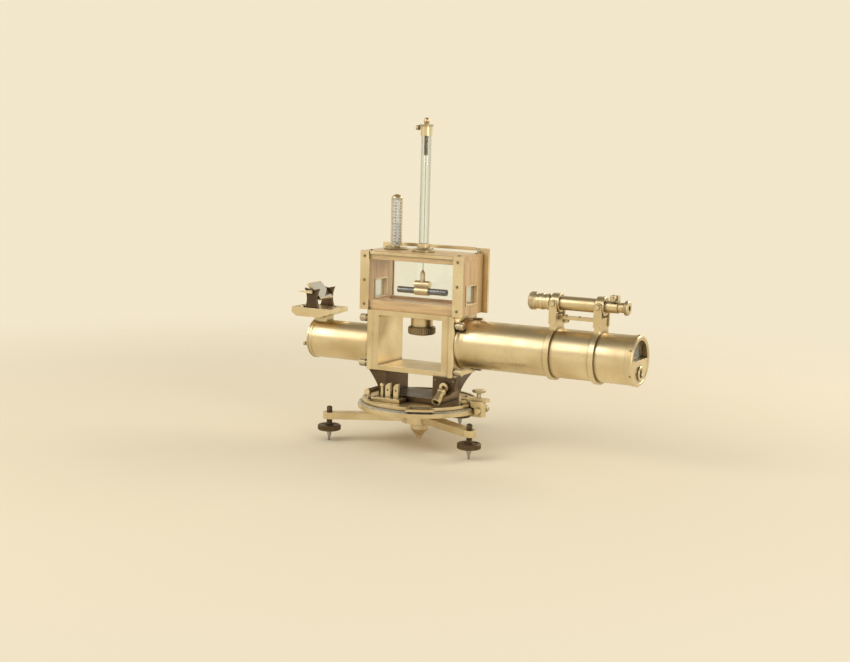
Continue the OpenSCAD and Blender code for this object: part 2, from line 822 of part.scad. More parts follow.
// Telescope body with its two collars and the sleeve of the draw tube
module telescope_tube() {
    collar = 7;
    front = support_a - collar - 2;
    sleeve_end = support_b + 27;
    color("goldenrod") difference() {
        union() {
            translate([0, 0, scope_z]) turned_x([
                [0, front], [scope_r + 1, front], [scope_r + 1, support_a - collar],
                [collar_r - 1, support_a - collar], [collar_r, support_a - collar + 1],
                [collar_r, support_a + collar - 1], [collar_r - 1, support_a + collar],
                [scope_r, support_a + collar], [scope_r, support_b - collar],
                [collar_r - 1, support_b - collar], [collar_r, support_b - collar + 1],
                [collar_r, support_b + collar - 1], [collar_r - 1, support_b + collar],
                [draw_r + 1.6, support_b + collar], [draw_r + 1.6, sleeve_end],
                [0, sleeve_end]
            ]);
            block([sleeve_end - 12, -5, scope_z + 6], [sleeve_end, 5, focus_z + 3.5]);
        }
        translate([0, 0, scope_z]) rod_x(draw_r + run, front - bite, sleeve_end + bite);
        for (side = [-1, 1])
            translate([support_a, 0, scope_z])
                rod_y(2 + run, side > 0 ? collar_r - 3 - slack : -collar_r - bite,
                      side > 0 ? collar_r + bite : 3 + slack - collar_r);
        translate([focus_x, 0, focus_z]) rod_y(1.5 + run, -6, 6);
    }
}

scope_x = support_a - scope_front;

// Objective cell with its ribbed rings
module objective_cell() {
    front = support_a - 9;
    color("darkgoldenrod") translate([0, 0, scope_z]) turned_x([
        [cell_r - 3, scope_x], [cell_r - 1, scope_x], [cell_r, scope_x + 1.5],
        [cell_r, scope_x + 9], [cell_r - 1, scope_x + 11],
        [cell_r - 2, scope_x + 12], [cell_r - 2, scope_x + 17],
        [cell_r - 1, scope_x + 18], [cell_r - 1, scope_x + 23],
        [cell_r - 2, scope_x + 24], [cell_r - 2, scope_x + 29],
        [cell_r - 1, scope_x + 30], [cell_r - 1, front - 1],
        [cell_r - 2, front], [cell_r - 5, front], [cell_r - 5, scope_x + 7],
        [cell_r - 3, scope_x + 7]
    ]);
}

// Objective lens, bulged on both faces, seated in the cell
module objective_lens() {
    r = cell_r - 3;
    rim = scope_x + 4;
    color("lightcyan") translate([0, 0, scope_z]) turned_x(concat(
        [for (t = [0:0.25:1]) [r * t, rim - 1.4 * (1 - t * t)]],
        [for (t = [1:-0.25:0]) [r * t, rim + 3 - 1 + (1 - t * t)]]
    ));
}

// Draw tube with the eyepiece's disc
module draw_tube() {
    start = support_a + 20;
    disc = support_b + 7 + draw_l;
    color("goldenrod") translate([0, 0, scope_z]) turned_x([
        [draw_r - 1.2, start], [draw_r, start], [draw_r, disc],
        [eyepiece_r - 0.8, disc], [eyepiece_r, disc + 0.8], [eyepiece_r, disc + 5],
        [eyepiece_r - 1.5, disc + 6.5], [4, disc + 6.5], [2, disc + 5], [2, disc],
        [draw_r - 1.2, disc]
    ]);
}

// Focusing pinion with its milled knob
module focus_knob() {
    color("goldenrod") translate([focus_x, 0, focus_z]) {
        rod_y(1.5, -14, 7);
        rod_y(2.6, 5 + slack, 7);
        translate([0, -5 - slack, 0]) rotate([90, 0, 0]) turned_head(4.8, 7);
    }
}

// Boat-shaped platform on the short tube that carries the mirror's standards
module mirror_platform() {
    half = table_l / 2;
    post_x = left_end;
    post_y = table_y / 2 - 2;
    knob_r = 4.5;
    color("darkkhaki") difference() {
        union() {
            slab_y(-table_y, table_y) polygon([
                [table_x - half, table_z], [table_x - half, table_z - 0.6 * table_t],
                [table_x - half + 9, table_z - table_t],
                [table_x + half - 22, table_z - table_t],
                [table_x + half, table_z - table_t / 2], [table_x + half, table_z]
            ]);
            block([post_x, -post_y, left_axis_z + left_r / 2],
                  [post_x + 22, post_y, table_z - table_t / 2]);
            translate([table_x - half + 19, 4 * knob_r - standard_out - table_y / 2, table_z])
                rotate_extrude() polygon(concat([[0, 0]], dome(knob_r, 0, knob_r)));
        }
        translate([0, 0, left_axis_z]) rod_x(left_r, left_end, -frame_x);
        translate([0, 0, left_axis_z]) rod_x(left_r + 1, left_end - bite, left_end + 5);
    }
}

// Outline of a waisted standard with a notch above the axle's bore
module standard_outline() {
    top = axle_z + 3 * axle_r;
    waist = table_l / 8;
    swell = table_l / 5;
    right = [for (t = [0:0.1:1])
        [table_x + waist + swell * pow(t - 0.45, 2), table_z + (top - table_z) * t]];
    left = [for (t = [1:-0.1:0])
        [table_x - waist - swell * pow(t - 0.45, 2), table_z + (top - table_z) * t]];
    polygon(concat(right, [[table_x, axle_z + axle_r + 1]], left));
}

// Two waisted standards that carry the mirror's axle
module mirror_standards() {
    color("dimgray") difference() {
        for (side = [-1, 1])
            slab_y(side > 0 ? standard_in : -standard_out, side > 0 ? standard_out : -standard_in)
                standard_outline();
        translate([table_x, 0, axle_z])
            rod_y(axle_r + run, -standard_out - bite, standard_out + bite);
    }
}

// Mirror's frame with its axle and the lever that tilts it
module mirror_frame() {
    half = mirror_l / 2 + 1.5;
    side = mirror_w / 2 + 1.5;
    lever_y = standard_out + slack;
    lever_t = 3;
    lever_l = 24;
    color("goldenrod") translate([table_x, 0, axle_z]) {
        rod_y(axle_r, -lever_y - lever_t - 0.5, 0.5 - side);
        rod_y(axle_r, side - 0.5, standard_out + 2);
        rotate([0, mirror_tilt, 0]) difference() {
            block([-half, -side, -2.5], [half, side, 2]);
            block([-mirror_l / 2, -mirror_w / 2, 0.5], [mirror_l / 2, mirror_w / 2, 2 + bite]);
        }
        slab_y(-lever_y - lever_t, -lever_y) polygon([
            [-lever_l, -0.6], [-3, -2.5], [3, -2.5], [3, 2.5], [-3, 2.5], [-lever_l, 0.6]
        ]);
    }
}

// Silvered glass of the mirror
module mirror_glass() {
    color("lightcyan") translate([table_x, 0, axle_z]) rotate([0, mirror_tilt, 0])
        block([-mirror_l / 2, -mirror_w / 2, 0.5], [mirror_l / 2, mirror_w / 2, 2.2]);
}

// Floor of the magnet box with its two rails and the spigot below
module box_floor() {
    color("burlywood") {
        block([-box_in, -box_y, box_z], [box_in, box_y, box_z + box_floor_t]);
        for (y = [-box_y, box_y - 5])
            block([-box_in, y, box_z + box_floor_t], [box_in, y + 5, box_z + box_floor_t + 4]);
        translate([0, 0, nut_z - 2]) cylinder(r = spigot_r, h = box_z - nut_z + 2);
    }
}

// Top of the magnet box, bored for the thread
module box_top() {
    under = box_top_z - box_top_t;
    color("burlywood") difference() {
        union() {
            block([-box_x, -box_y, under], [box_x, box_y, box_top_z]);
            for (y = [-box_y, box_y - 5])
                block([-box_in, y, under - 4], [box_in, y + 5, under]);
        }
        translate([0, 0, under - bite]) cylinder(r = 5, h = box_top_t + 2 * bite);
    }
}

// Side wall of the magnet box with its window
module box_wall(side) {
    x0 = side > 0 ? box_in : -box_x;
    color("burlywood") difference() {
        block([x0, -box_y, box_z], [x0 + box_wall_t, box_y, box_top_z - box_top_t]);
        translate([x0 + box_wall_t / 2, 0, magnet_z])
            cube([box_wall_t + 2 * bite, side_window_w, side_window_h], center = true);
    }
}

module box_wall_left() {
    box_wall(-1);
}

module box_wall_right() {
    box_wall(1);
}

// Strip with a groove that one edge of a pane slides in, on the back right corner
module guide_strip(over, high) {
    inner = pane_x - guide_lap;
    difference() {
        block([inner, box_y, box_z], [box_x + over, box_y + guide_t, high]);
        block([inner - bite, box_y - bite, pane_z - slack],
              [pane_x + slack, box_y + groove_t, high + bite]);
    }
}

// The four guide strips of the front and rear panes
module pane_guides() {
    color("goldenrod") for (side = [0, 1]) mirror([side, 0, 0]) {
        mirror([0, 1, 0]) guide_strip(front_over, box_top_z);
        guide_strip(rear_over, box_top_z + rear_rise);
    }
}

// Glass pane between two guide strips
module pane(top) {
    color("lightcyan") block([-pane_x, pane_y, pane_z], [pane_x, pane_y + glass_t, top]);
}

module front_pane() {
    mirror([0, 1, 0]) pane(box_top_z - 1);
}

module rear_pane() {
    pane(box_top_z + rear_rise);
}

// Milled nut on the spigot, below the lower frame's top plate
module box_clamp_nut() {
    grooves = 36;
    edge = 1.5;
    color("darkslategray") translate([0, 0, nut_z]) difference() {
        union() {
            cylinder(r = nut_r - edge, h = nut_h);
            translate([0, 0, edge]) linear_extrude(nut_h - 2 * edge) difference() {
                circle(r = nut_r);
                for (i = [1:grooves])
                    rotate(i * 360 / grooves) translate([nut_r + 0.3, 0])
                        circle(r = 1.1, $fn = 16);
            }
        }
        translate([0, 0, -bite]) cylinder(r = spigot_r + run, h = nut_h + 2 * bite);
    }
}

// Thermometer's case: a flange and a domed tube with a long slot in front
module thermometer_case() {
    color("goldenrod") translate([-therm_x, therm_y, box_top_z]) difference() {
        rotate_extrude() polygon(concat(
            [[0, 0], [2 * therm_r, 0], [2 * therm_r + 0.5, 1.5], [2 * therm_r - 1, 3],
             [therm_r + 2, 3.5], [therm_r, 6]],
            dome(therm_r, therm_h - 8, 8)
        ));
        rotate(30) {
            block([-therm_r + 2, -2 * therm_r, 8], [therm_r - 2, -2, therm_h - 6]);
        }
    }
}

// Thermometer's glass stem, seated in the foot of the slot
module thermometer_stem() {
    color("lightcyan") translate([-therm_x, therm_y, box_top_z]) rotate(30) translate([2, -5, 8]) {
        cylinder(r = 1.9, h = therm_h - 18);
        translate([0, 0, therm_h - 18]) rotate_extrude() polygon(concat([[0, 0]], dome(1.9, 0, 1.9)));
    }
}

// Flange and socket of the suspension tube
module suspension_flange() {
    rim = flange_r;
    color("goldenrod") translate([0, 0, box_top_z]) rotate_extrude() polygon([
        [5, 0], [rim, 0], [rim, 3], [rim - 1.5, 4.5], [glass_r + 4, 5],
        [glass_r + 2.5, 6.5], [glass_r + 2.5, 13], [glass_r, 13], [glass_r, 7], [5, 7]
    ]);
}

// Glass suspension tube
module suspension_tube() {
    color("lightcyan") translate([0, 0, glass_z]) difference() {
        cylinder(r = glass_r, h = glass_l);
        translate([0, 0, -bite]) cylinder(r = glass_r - glass_wall, h = glass_l + 2 * bite);
    }
}

// Torsion head with its rim, knob and clamp, and the pin that holds the thread
module torsion_head() {
    skirt = glass_r + slack;
    drum = glass_r + 1.2;
    color("goldenrod") {
        translate([0, 0, head_z]) rotate_extrude() polygon(concat(
            [[0, -pin_l], [1.5, -pin_l], [2.5, 2 - pin_l], [2.5, 0], [skirt, 0], [skirt, -5],
             [drum, -5], [drum, head_h - 2.5], [drum + 1.7, head_h - 2],
             [drum + 1.7, head_h], [4, head_h], [4, head_h + 2]],
            dome(5, head_h + 5, 6)
        ));
        translate([0, 0, head_z + head_h - 5.5]) {
            rod_x(1.5, -drum - 6, 1 - drum);
            translate([-drum - 4, 0, 0]) rotate([0, -90, 0]) turned_head(3.8, 5, 0.6);
        }
    }
}

// Stirrup that holds the magnet, with its stem and the silk thread
module stirrup() {
    cross_z = magnet_r + 5.5;
    stem_z = cross_z + 6;
    top = head_z - pin_l - slack - magnet_z;
    color("silver") translate([0, 0, magnet_z]) difference() {
        union() {
            rod_x(magnet_r + 1.9, -12.5, 12.5);
            translate([0, 0, cross_z]) rod_x(6, -13, 13);
            rotate_extrude() polygon([
                [0, cross_z], [4, cross_z], [4, stem_z + 12], [3, stem_z + 15],
                [1, stem_z + 18], [thread_r, stem_z + 19], [thread_r, top], [0, top]
            ]);
        }
        rod_x(magnet_r, -14, 14);
    }
}

// Suspended magnet with a shallow recess in each end
module magnet() {
    half = magnet_l / 2;
    color("dimgray") translate([0, 0, magnet_z]) turned_x([
        [0, 2 - half], [magnet_r - 1.6, 2 - half], [magnet_r - 1.6, -half],
        [magnet_r, -half], [magnet_r, half], [magnet_r - 1.6, half],
        [magnet_r - 1.6, half - 2], [0, half - 2]
    ]);
}

module foot_point_left() foot_point(foot_angles[0]);
module foot_point_right() foot_point(foot_angles[1]);
module foot_point_rear() foot_point(foot_angles[2]);
module levelling_screw_left() levelling_screw(foot_angles[0]);
module levelling_screw_right() levelling_screw(foot_angles[1]);
module levelling_screw_rear() levelling_screw(foot_angles[2]);

tripod_frame();
limb_circle();
axis_socket();
foot_point_left();
foot_point_right();
foot_point_rear();
levelling_screw_left();
levelling_screw_right();
levelling_screw_rear();
vernier_plate();
vernier_window();
axis_spindle();
cradle();
plate_level();
level_vial();
lug_bracket();
magnifier_bracket();
vernier_magnifier();
clamp_bar();
clamp_block();
azimuth_clamp_screw();
tangent_screw();
frame_floor();
frame_top();
side_plate_left();
side_plate_right();
frame_screws();
left_tube();
left_tube_cap();
right_tube();
right_end_cap();
eye_lens_mount();
window_glasses();
support_band_left();
support_band_right();
link_bar();
telescope_tube();
objective_cell();
objective_lens();
draw_tube();
focus_knob();
mirror_platform();
mirror_standards();
mirror_frame();
mirror_glass();
box_floor();
box_top();
box_wall_left();
box_wall_right();
pane_guides();
front_pane();
rear_pane();
box_clamp_nut();
thermometer_case();
thermometer_stem();
suspension_flange();
suspension_tube();
torsion_head();
stirrup();
magnet();
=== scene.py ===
# %% [markdown]
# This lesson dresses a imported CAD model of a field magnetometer: a brass instrument with a long
# tube, a reading telescope, a glazed wooden box for the magnet and a tall glass suspension tube.
# The CAD pieces are the frame and stay where they are. Blender adds the finishes and the fine
# work: engraved scales, milled edges, screw threads, slotted screws, liners and linings.

# %% Load the frame
import bpy
import bmesh
import math
import random
from mathutils import Matrix, Vector


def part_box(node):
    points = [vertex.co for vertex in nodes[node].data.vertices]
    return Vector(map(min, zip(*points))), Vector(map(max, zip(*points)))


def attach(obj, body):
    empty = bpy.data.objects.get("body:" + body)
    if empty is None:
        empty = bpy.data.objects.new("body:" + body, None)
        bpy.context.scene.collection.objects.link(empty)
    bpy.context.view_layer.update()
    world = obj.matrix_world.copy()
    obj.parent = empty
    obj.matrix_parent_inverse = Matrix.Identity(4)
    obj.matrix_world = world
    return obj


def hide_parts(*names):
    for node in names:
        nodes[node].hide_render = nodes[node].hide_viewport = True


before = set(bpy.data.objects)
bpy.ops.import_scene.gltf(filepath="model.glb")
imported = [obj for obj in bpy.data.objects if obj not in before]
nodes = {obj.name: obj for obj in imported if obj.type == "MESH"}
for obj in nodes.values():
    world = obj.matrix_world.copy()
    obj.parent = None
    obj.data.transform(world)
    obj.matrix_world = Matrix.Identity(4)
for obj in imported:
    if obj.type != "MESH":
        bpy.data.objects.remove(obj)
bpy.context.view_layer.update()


def new_object(name, data):
    """An object in the scene's collection."""
    made = bpy.data.objects.new(name, data)
    bpy.context.scene.collection.objects.link(made)
    return made

# %% [markdown]
# The camera stands to the right of the front and a little above, as the draughtsman sat. The
# drawing is nearly a parallel projection, so the camera is far away with a long lens. The
# values come from matching some thirty corners of the instrument by least squares.

# %% Camera
IMAGE_WIDTH = 850
AZIMUTH, ELEVATION, ROLL = (math.radians(a) for a in (28.0, 8.0, 1.4))
DISTANCE = 2.5
AIM = Vector((0.006, 0.0, 0.1838))
PIXELS_PER_METRE = 614.0
SENSOR = 36.0
camera_data = bpy.data.cameras.new("camera")
camera_data.sensor_width = SENSOR
camera_data.lens = PIXELS_PER_METRE * DISTANCE * SENSOR / IMAGE_WIDTH
camera_data.clip_end = 50.0
camera = new_object("camera", camera_data)
camera.matrix_world = (
    Matrix.Translation(AIM) @ Matrix.Rotation(AZIMUTH, 4, "Z")
    @ Matrix.Rotation(math.pi / 2 - ELEVATION, 4, "X") @ Matrix.Rotation(ROLL, 4, "Z")
    @ Matrix.Translation((0, 0, DISTANCE)))
bpy.context.scene.camera = camera
print("lens", round(camera_data.lens, 1), "mm at", [round(x, 3) for x in camera.location])

# %% [markdown]
# The backdrop is plain warm white, the tone of old drawing paper. The floor fades out with
# distance, so no horizon cuts across the picture, and it keeps the instrument's shadow. Metal
# and glass show the same backdrop, because the world answers their rays too.

# %% World and floor
PAPER, FLOOR_TONE, SKY_TONE = (0.90, 0.80, 0.60), (0.88, 0.78, 0.58), (0.97, 0.95, 0.90)
WHITE = (1.0, 1.0, 1.0)
FLOOR_RADIUS, FLOOR_SIDES = 2.2, 96
FADE_FROM, FADE_TO = 0.55, 1.7
AMBIENT = 0.62
ROOM_BANDS = ((0.0, 1.0), (0.10, 0.95), (0.26, 0.55), (0.44, 0.95), (0.64, 0.42), (0.90, 0.25))

bpy.context.scene.view_settings.view_transform = "Standard"


def feed(tree, node, inputs):
    """Sets a node's inputs, by name or number: links a socket, writes a value."""
    for key, value in inputs.items():
        socket = node.inputs[key]
        if isinstance(value, bpy.types.NodeSocket):
            tree.links.new(value, socket)
        elif isinstance(value, tuple) and len(value) < len(socket.default_value):
            socket.default_value = (*value, 1.0)
        else:
            socket.default_value = value


def add(tree, kind, inputs=None, **settings):
    """Adds a node with its settings and inputs; returns its outputs."""
    node = tree.nodes.new(kind)
    for name, value in settings.items():
        setattr(node, name, value)
    feed(tree, node, inputs or {})
    return node.outputs


def math_node(tree, operation, *values, clamp=False):
    """The result of a Math node over numbers or sockets."""
    return add(tree, "ShaderNodeMath", dict(enumerate(values)), operation=operation,
               use_clamp=clamp)[0]


def mix_color(tree, factor, first, second):
    """The result of a colour mix; a Mix node takes colours at 6 and 7 and gives one at 2."""
    return add(tree, "ShaderNodeMix", {0: factor, 6: first, 7: second}, data_type="RGBA")[2]


def empty_tree(owner):
    """The emptied node tree of a world or a material."""
    owner.use_nodes = True
    owner.node_tree.nodes.clear()
    return owner.node_tree


def make_world():
    """A world that cameras and gloss see as the backdrop, and that lights matt surfaces softly."""
    world = bpy.data.worlds.new("studio")
    bpy.context.scene.world = world
    tree = empty_tree(world)
    ray = add(tree, "ShaderNodeLightPath")
    sharp = math_node(tree, "MAXIMUM", ray["Is Glossy Ray"], ray["Is Transmission Ray"])
    shown = math_node(tree, "MAXIMUM", ray["Is Camera Ray"], sharp)
    direction = add(tree, "ShaderNodeTexCoord")["Generated"]
    bands = tree.nodes.new("ShaderNodeValToRGB")
    feed(tree, bands, {0: add(tree, "ShaderNodeSeparateXYZ", {0: direction})["Z"]})
    bands.color_ramp.interpolation = "EASE"
    stops = bands.color_ramp.elements
    for i, (place, grey) in enumerate(ROOM_BANDS):
        stop = stops[i] if i == 0 else stops.new(place)
        stop.position = place
        stop.color = (grey, grey, grey, 1.0)
    stops.remove(stops[-1])
    room = mix_color(tree, ray["Is Camera Ray"], bands.outputs["Color"], WHITE)
    tinted = add(tree, "ShaderNodeVectorMath", {0: room, 1: PAPER}, operation="MULTIPLY")[0]
    seen = add(tree, "ShaderNodeBackground", {"Color": tinted})[0]
    soft = add(tree, "ShaderNodeBackground", {"Color": SKY_TONE, "Strength": AMBIENT})[0]
    mix = add(tree, "ShaderNodeMixShader", {0: shown, 1: soft, 2: seen})[0]
    add(tree, "ShaderNodeOutputWorld", {"Surface": mix})


def make_floor():
    """A round floor whose edge fades into the backdrop."""
    mesh = bpy.data.meshes.new("floor")
    edge = [(FLOOR_RADIUS * math.cos(a), FLOOR_RADIUS * math.sin(a), 0.0)
            for a in (math.tau * i / FLOOR_SIDES for i in range(FLOOR_SIDES))]
    mesh.from_pydata(edge, [], [tuple(range(FLOOR_SIDES))])
    floor = new_object("floor", mesh)
    material = bpy.data.materials.new("floor_paper")
    tree = empty_tree(material)
    place = add(tree, "ShaderNodeTexCoord")["Object"]
    length = add(tree, "ShaderNodeVectorMath", {0: place}, operation="LENGTH")["Value"]
    fade = add(tree, "ShaderNodeMapRange", {"Value": length, "From Min": FADE_FROM,
                                            "From Max": FADE_TO}, interpolation_type="SMOOTHSTEP")
    matt = add(tree, "ShaderNodeBsdfDiffuse", {"Color": FLOOR_TONE})[0]
    clear = add(tree, "ShaderNodeBsdfTransparent")[0]
    mix = add(tree, "ShaderNodeMixShader", {0: fade["Result"], 1: matt, 2: clear})[0]
    add(tree, "ShaderNodeOutputMaterial", {"Surface": mix})
    mesh.materials.append(material)


make_world()
make_floor()
print("floor radius", FLOOR_RADIUS, "m, fading from", FADE_FROM)

# %% [markdown]
# Three large soft lamps light the instrument: a key from the upper left front, a weaker fill
# from the right, and a long strip behind that draws bright lines along the tubes. Large lamps
# give brass the broad highlights that make it read as turned metal.

# %% Lamps
# Each lamp's place, width, height, power in watts and colour.
LAMPS = {
    "key": ((-1.3, -1.6, 1.7), 1.7, 1.5, 22.0, (1.0, 0.96, 0.90)),
    "fill": ((1.9, -1.1, 0.9), 0.9, 1.1, 9.0, (0.93, 0.96, 1.0)),
    "rim": ((1.15, 1.6, 1.3), 1.5, 0.6, 14.0, (1.0, 0.97, 0.92)),
}
LAMP_AIM = Vector((0.06, 0.0, 0.2))


def make_lamp(name, place, width, height, power, colour):
    """An area lamp that looks at the middle of the instrument."""
    data = bpy.data.lights.new(name, "AREA")
    data.shape = "RECTANGLE"
    data.size, data.size_y = width, height
    data.energy, data.color = power, colour
    lamp = new_object(name, data)
    lamp.location = place
    lamp.rotation_euler = (LAMP_AIM - Vector(place)).to_track_quat("-Z", "Y").to_euler()


for lamp_name, settings in LAMPS.items():
    make_lamp(lamp_name, *settings)
print("lamps", ", ".join(LAMPS))

# %% [markdown]
# Old metal shows four things that a flat colour lacks: edges that catch the light and are
# rubbed brighter, grime in the corners, faint cloudy tarnish, and fine marks from the lathe or
# the file. The corners are darkened for their grime and also with painted shade. Each is a
# shader node group, built once and given its own values in each finish. The edge group compares
# the true normal with one rounded over a small radius, which works on CAD meshes, and the corner
# group asks how much of the sky a point sees close by and darkens it as grime and painted shade.

# %% Shader groups
FLOAT, WHOLE, VECTOR = "NodeSocketFloat", "NodeSocketInt", "NodeSocketVector"


def new_group(name, inputs, outputs):
    """An empty shader group with its inputs' usual values, None for a vector without one."""
    group = bpy.data.node_groups.new(name, "ShaderNodeTree")
    for socket, value in inputs.items():
        kind = FLOAT if isinstance(value, float) else VECTOR
        made = group.interface.new_socket(socket, in_out="INPUT", socket_type=kind)
        if value is not None:
            made.default_value = value
    for socket, kind in outputs.items():
        group.interface.new_socket(socket, in_out="OUTPUT", socket_type=kind)
    return group, group.nodes.new("NodeGroupInput").outputs, group.nodes.new("NodeGroupOutput")


def noise(tree, vector, scale, detail=2.0, distortion=0.0):
    """A noise texture's value."""
    return add(tree, "ShaderNodeTexNoise", {"Vector": vector, "Scale": scale, "Detail": detail,
                                            "Distortion": distortion})["Fac"]


def spread(tree, value, low, high):
    """A value stretched so that low gives 0 and high gives 1."""
    return add(tree, "ShaderNodeMapRange", {"Value": value, "From Min": low,
                                            "From Max": high})["Result"]


def mask(tree, openness, gain):
    """What an openness lacks of 1, times a gain, kept from 0 to 1."""
    lack = math_node(tree, "SUBTRACT", 1.0, openness)
    return math_node(tree, "MULTIPLY", lack, gain, clamp=True)


def edge_group():
    """Mask of worn edges and a normal that rounds them."""
    group, given, result = new_group("worn_edges", {"Radius": 0.0006, "Gain": 3.0},
                                     {"Mask": FLOAT, "Normal": VECTOR})
    bevel = add(group, "ShaderNodeBevel", {"Radius": given["Radius"]}, samples=4)[0]
    true = add(group, "ShaderNodeNewGeometry")["Normal"]
    dot = add(group, "ShaderNodeVectorMath", {0: bevel, 1: true}, operation="DOT_PRODUCT")["Value"]
    feed(group, result, {"Mask": mask(group, dot, given["Gain"]), "Normal": bevel})
    return group


def grime_group():
    """Mask of the grime and the painted shade in corners and along joints, where little sky is
    seen.
    """
    group, given, result = new_group("corner_grime_and_painted_shade", {"Reach": 0.006, "Gain": 1.5},
                                     {"Mask": FLOAT})
    sky = add(group, "ShaderNodeAmbientOcclusion", {"Distance": given["Reach"]}, samples=6)["AO"]
    feed(group, result, {"Mask": mask(group, sky, given["Gain"])})
    return group


def tarnish_group():
    """Cloudy tarnish: a broad mask and a finer speckle, both from 0 to 1."""
    group, given, result = new_group("tarnish", {"Scale": 14.0, "Vector": None},
                                     {"Cloud": FLOAT, "Speck": FLOAT})
    broad = noise(group, given["Vector"], given["Scale"], 4.0, 0.4)
    fine = noise(group, given["Vector"], math_node(group, "MULTIPLY", given["Scale"], 30.0))
    feed(group, result, {"Cloud": spread(group, broad, 0.35, 0.68),
                         "Speck": spread(group, fine, 0.6, 0.8)})
    return group


def grain_group():
    """Fine marks of the lathe or the file: noise drawn out across the given stretch."""
    group, given, result = new_group("machine_marks", {"Vector": None, "Stretch": WHITE},
                                     {"Height": FLOAT})
    scaled = add(group, "ShaderNodeVectorMath", {0: given["Vector"], 1: given["Stretch"]},
                 operation="MULTIPLY")[0]
    feed(group, result, {"Height": noise(group, scaled, 1.0, 3.0)})
    return group


GROUPS = {"edges": edge_group(), "grime_and_shade": grime_group(), "tarnish": tarnish_group(),
          "grain": grain_group()}
print("shader groups", ", ".join(g.name for g in GROUPS.values()))

# %% [markdown]
# The finishes. Two brasses carry the whole instrument: a pale lacquered one on the tubes, plates
# and screws, and a bronzed one on the cradle, the nut and the levelling screws, which the
# drawing shades dark. One function builds both, because only their colours and gloss differ.
# The marks of the tool follow the piece: round a turned part, along a flat one.

# %% Brass finishes
ALONG_X = (30.0, 2200.0, 2200.0)
TURNED_X = (2600.0, 60.0, 60.0)
TURNED_Z = (60.0, 60.0, 2600.0)
FLAT_Z = (90.0, 90.0, 1400.0)
# The last of these sets how dark the corners go, for grime and painted shade.
SPECK_SHARE, SPECK_DARK, GRIME_AND_SHADE_DARK = 0.35, 0.45, 0.22


def shared(tree, name, inputs=None):
    """A shared group placed in a material with its inputs; returns its outputs."""
    return add(tree, "ShaderNodeGroup", inputs, node_tree=GROUPS[name])


def new_material(name):
    """An empty material with its surface shader and Object coordinates."""
    material = bpy.data.materials.new(name)
    tree = empty_tree(material)
    surface = tree.nodes.new("ShaderNodeBsdfPrincipled")
    add(tree, "ShaderNodeOutputMaterial", {"Surface": surface.outputs[0]})
    return material, tree, surface, add(tree, "ShaderNodeTexCoord")["Object"]


def bump(tree, height, strength, distance, normal=None):
    """The normal of a Bump node over a height."""
    inputs = {"Height": height, "Strength": strength, "Distance": distance}
    return add(tree, "ShaderNodeBump", {**inputs, "Normal": normal} if normal else inputs)[0]


def metal(name, base, cloud, worn, rough=(0.26, 0.44), stretch=FLAT_Z, scale=16.0,
          wear=3.0, marks=0.10, speck=None):
    """A metal with tool marks, cloudy tarnish, a few specks, grime with painted shade in corners,
    rubbed edges.
    """
    material, tree, surface, place = new_material(name)
    edges = shared(tree, "edges", {"Gain": wear})
    tarnish = shared(tree, "tarnish", {"Scale": scale, "Vector": place})
    grain = shared(tree, "grain", {"Stretch": stretch, "Vector": place})["Height"]
    colour = mix_color(tree, tarnish["Cloud"], base, cloud)
    colour = mix_color(tree, math_node(tree, "MULTIPLY", tarnish["Speck"], SPECK_SHARE), colour,
                       speck or tuple(SPECK_DARK * c for c in cloud))
    colour = mix_color(tree, edges["Mask"], colour, worn)
    # Corners that see little sky go darker: grime and painted shade.
    colour = mix_color(tree, shared(tree, "grime_and_shade")["Mask"], colour,
                       tuple(GRIME_AND_SHADE_DARK * c for c in cloud))
    span = math_node(tree, "MULTIPLY", tarnish["Cloud"], rough[1] - rough[0])
    lines = math_node(tree, "MULTIPLY", grain, 0.12)
    total = math_node(tree, "ADD", math_node(tree, "ADD", span, lines), rough[0] - 0.05)
    feed(tree, surface, {"Base Color": colour, "Metallic": 1.0, "Roughness": total,
                         "Normal": bump(tree, grain, marks, 0.0002, edges["Normal"])})
    return material


# Clean, tarnished and rubbed colours.
BRASS = (0.83, 0.71, 0.47), (0.66, 0.52, 0.30), (0.93, 0.87, 0.72)
BRONZE = (0.10, 0.072, 0.050), (0.17, 0.115, 0.065), (0.66, 0.48, 0.25)

FINISH = {
    "brass": metal("brass_flat", *BRASS),
    "brass_x": metal("brass_turned_x", *BRASS, stretch=TURNED_X),
    "brass_z": metal("brass_turned_z", *BRASS, stretch=TURNED_Z),
    "bronze": metal("bronze", *BRONZE, rough=(0.34, 0.52), wear=2.2, marks=0.16,
                    speck=(0.22, 0.16, 0.09)),
    "bronze_worn": metal("bronze_worn", (0.30, 0.22, 0.13), (0.40, 0.30, 0.17), BRONZE[2],
                         rough=(0.30, 0.46), wear=2.6, speck=(0.16, 0.11, 0.06)),
    "steel": metal("steel", (0.56, 0.56, 0.56), (0.42, 0.41, 0.40), (0.80, 0.80, 0.79),
                   rough=(0.22, 0.40), stretch=TURNED_Z),
    "magnet": metal("magnet_steel", (0.20, 0.21, 0.235), (0.12, 0.125, 0.15), (0.58, 0.60, 0.63),
                    rough=(0.16, 0.30), stretch=ALONG_X, scale=40.0, marks=0.08),
    "silver": metal("silvered_scale", (0.86, 0.85, 0.81), (0.74, 0.71, 0.64), (0.95, 0.94, 0.90),
                    rough=(0.34, 0.46), stretch=TURNED_Z, scale=22.0, marks=0.06),
}
print("metals", ", ".join(FINISH))

# %% [markdown]
# The magnet box is joinery, not metal: it must be free of iron, so these boxes were made of
# fine pale hardwood and varnished. The grain runs along each board: rings and pores are noise
# drawn out many times longer than wide, and a clear coat stands for the varnish.

# %% Wood finish
WOOD_PALE = (0.74, 0.49, 0.23)
WOOD_RING = (0.58, 0.35, 0.15)
WOOD_PORE = (0.32, 0.18, 0.07)
WOOD_RUBBED = (0.80, 0.59, 0.32)


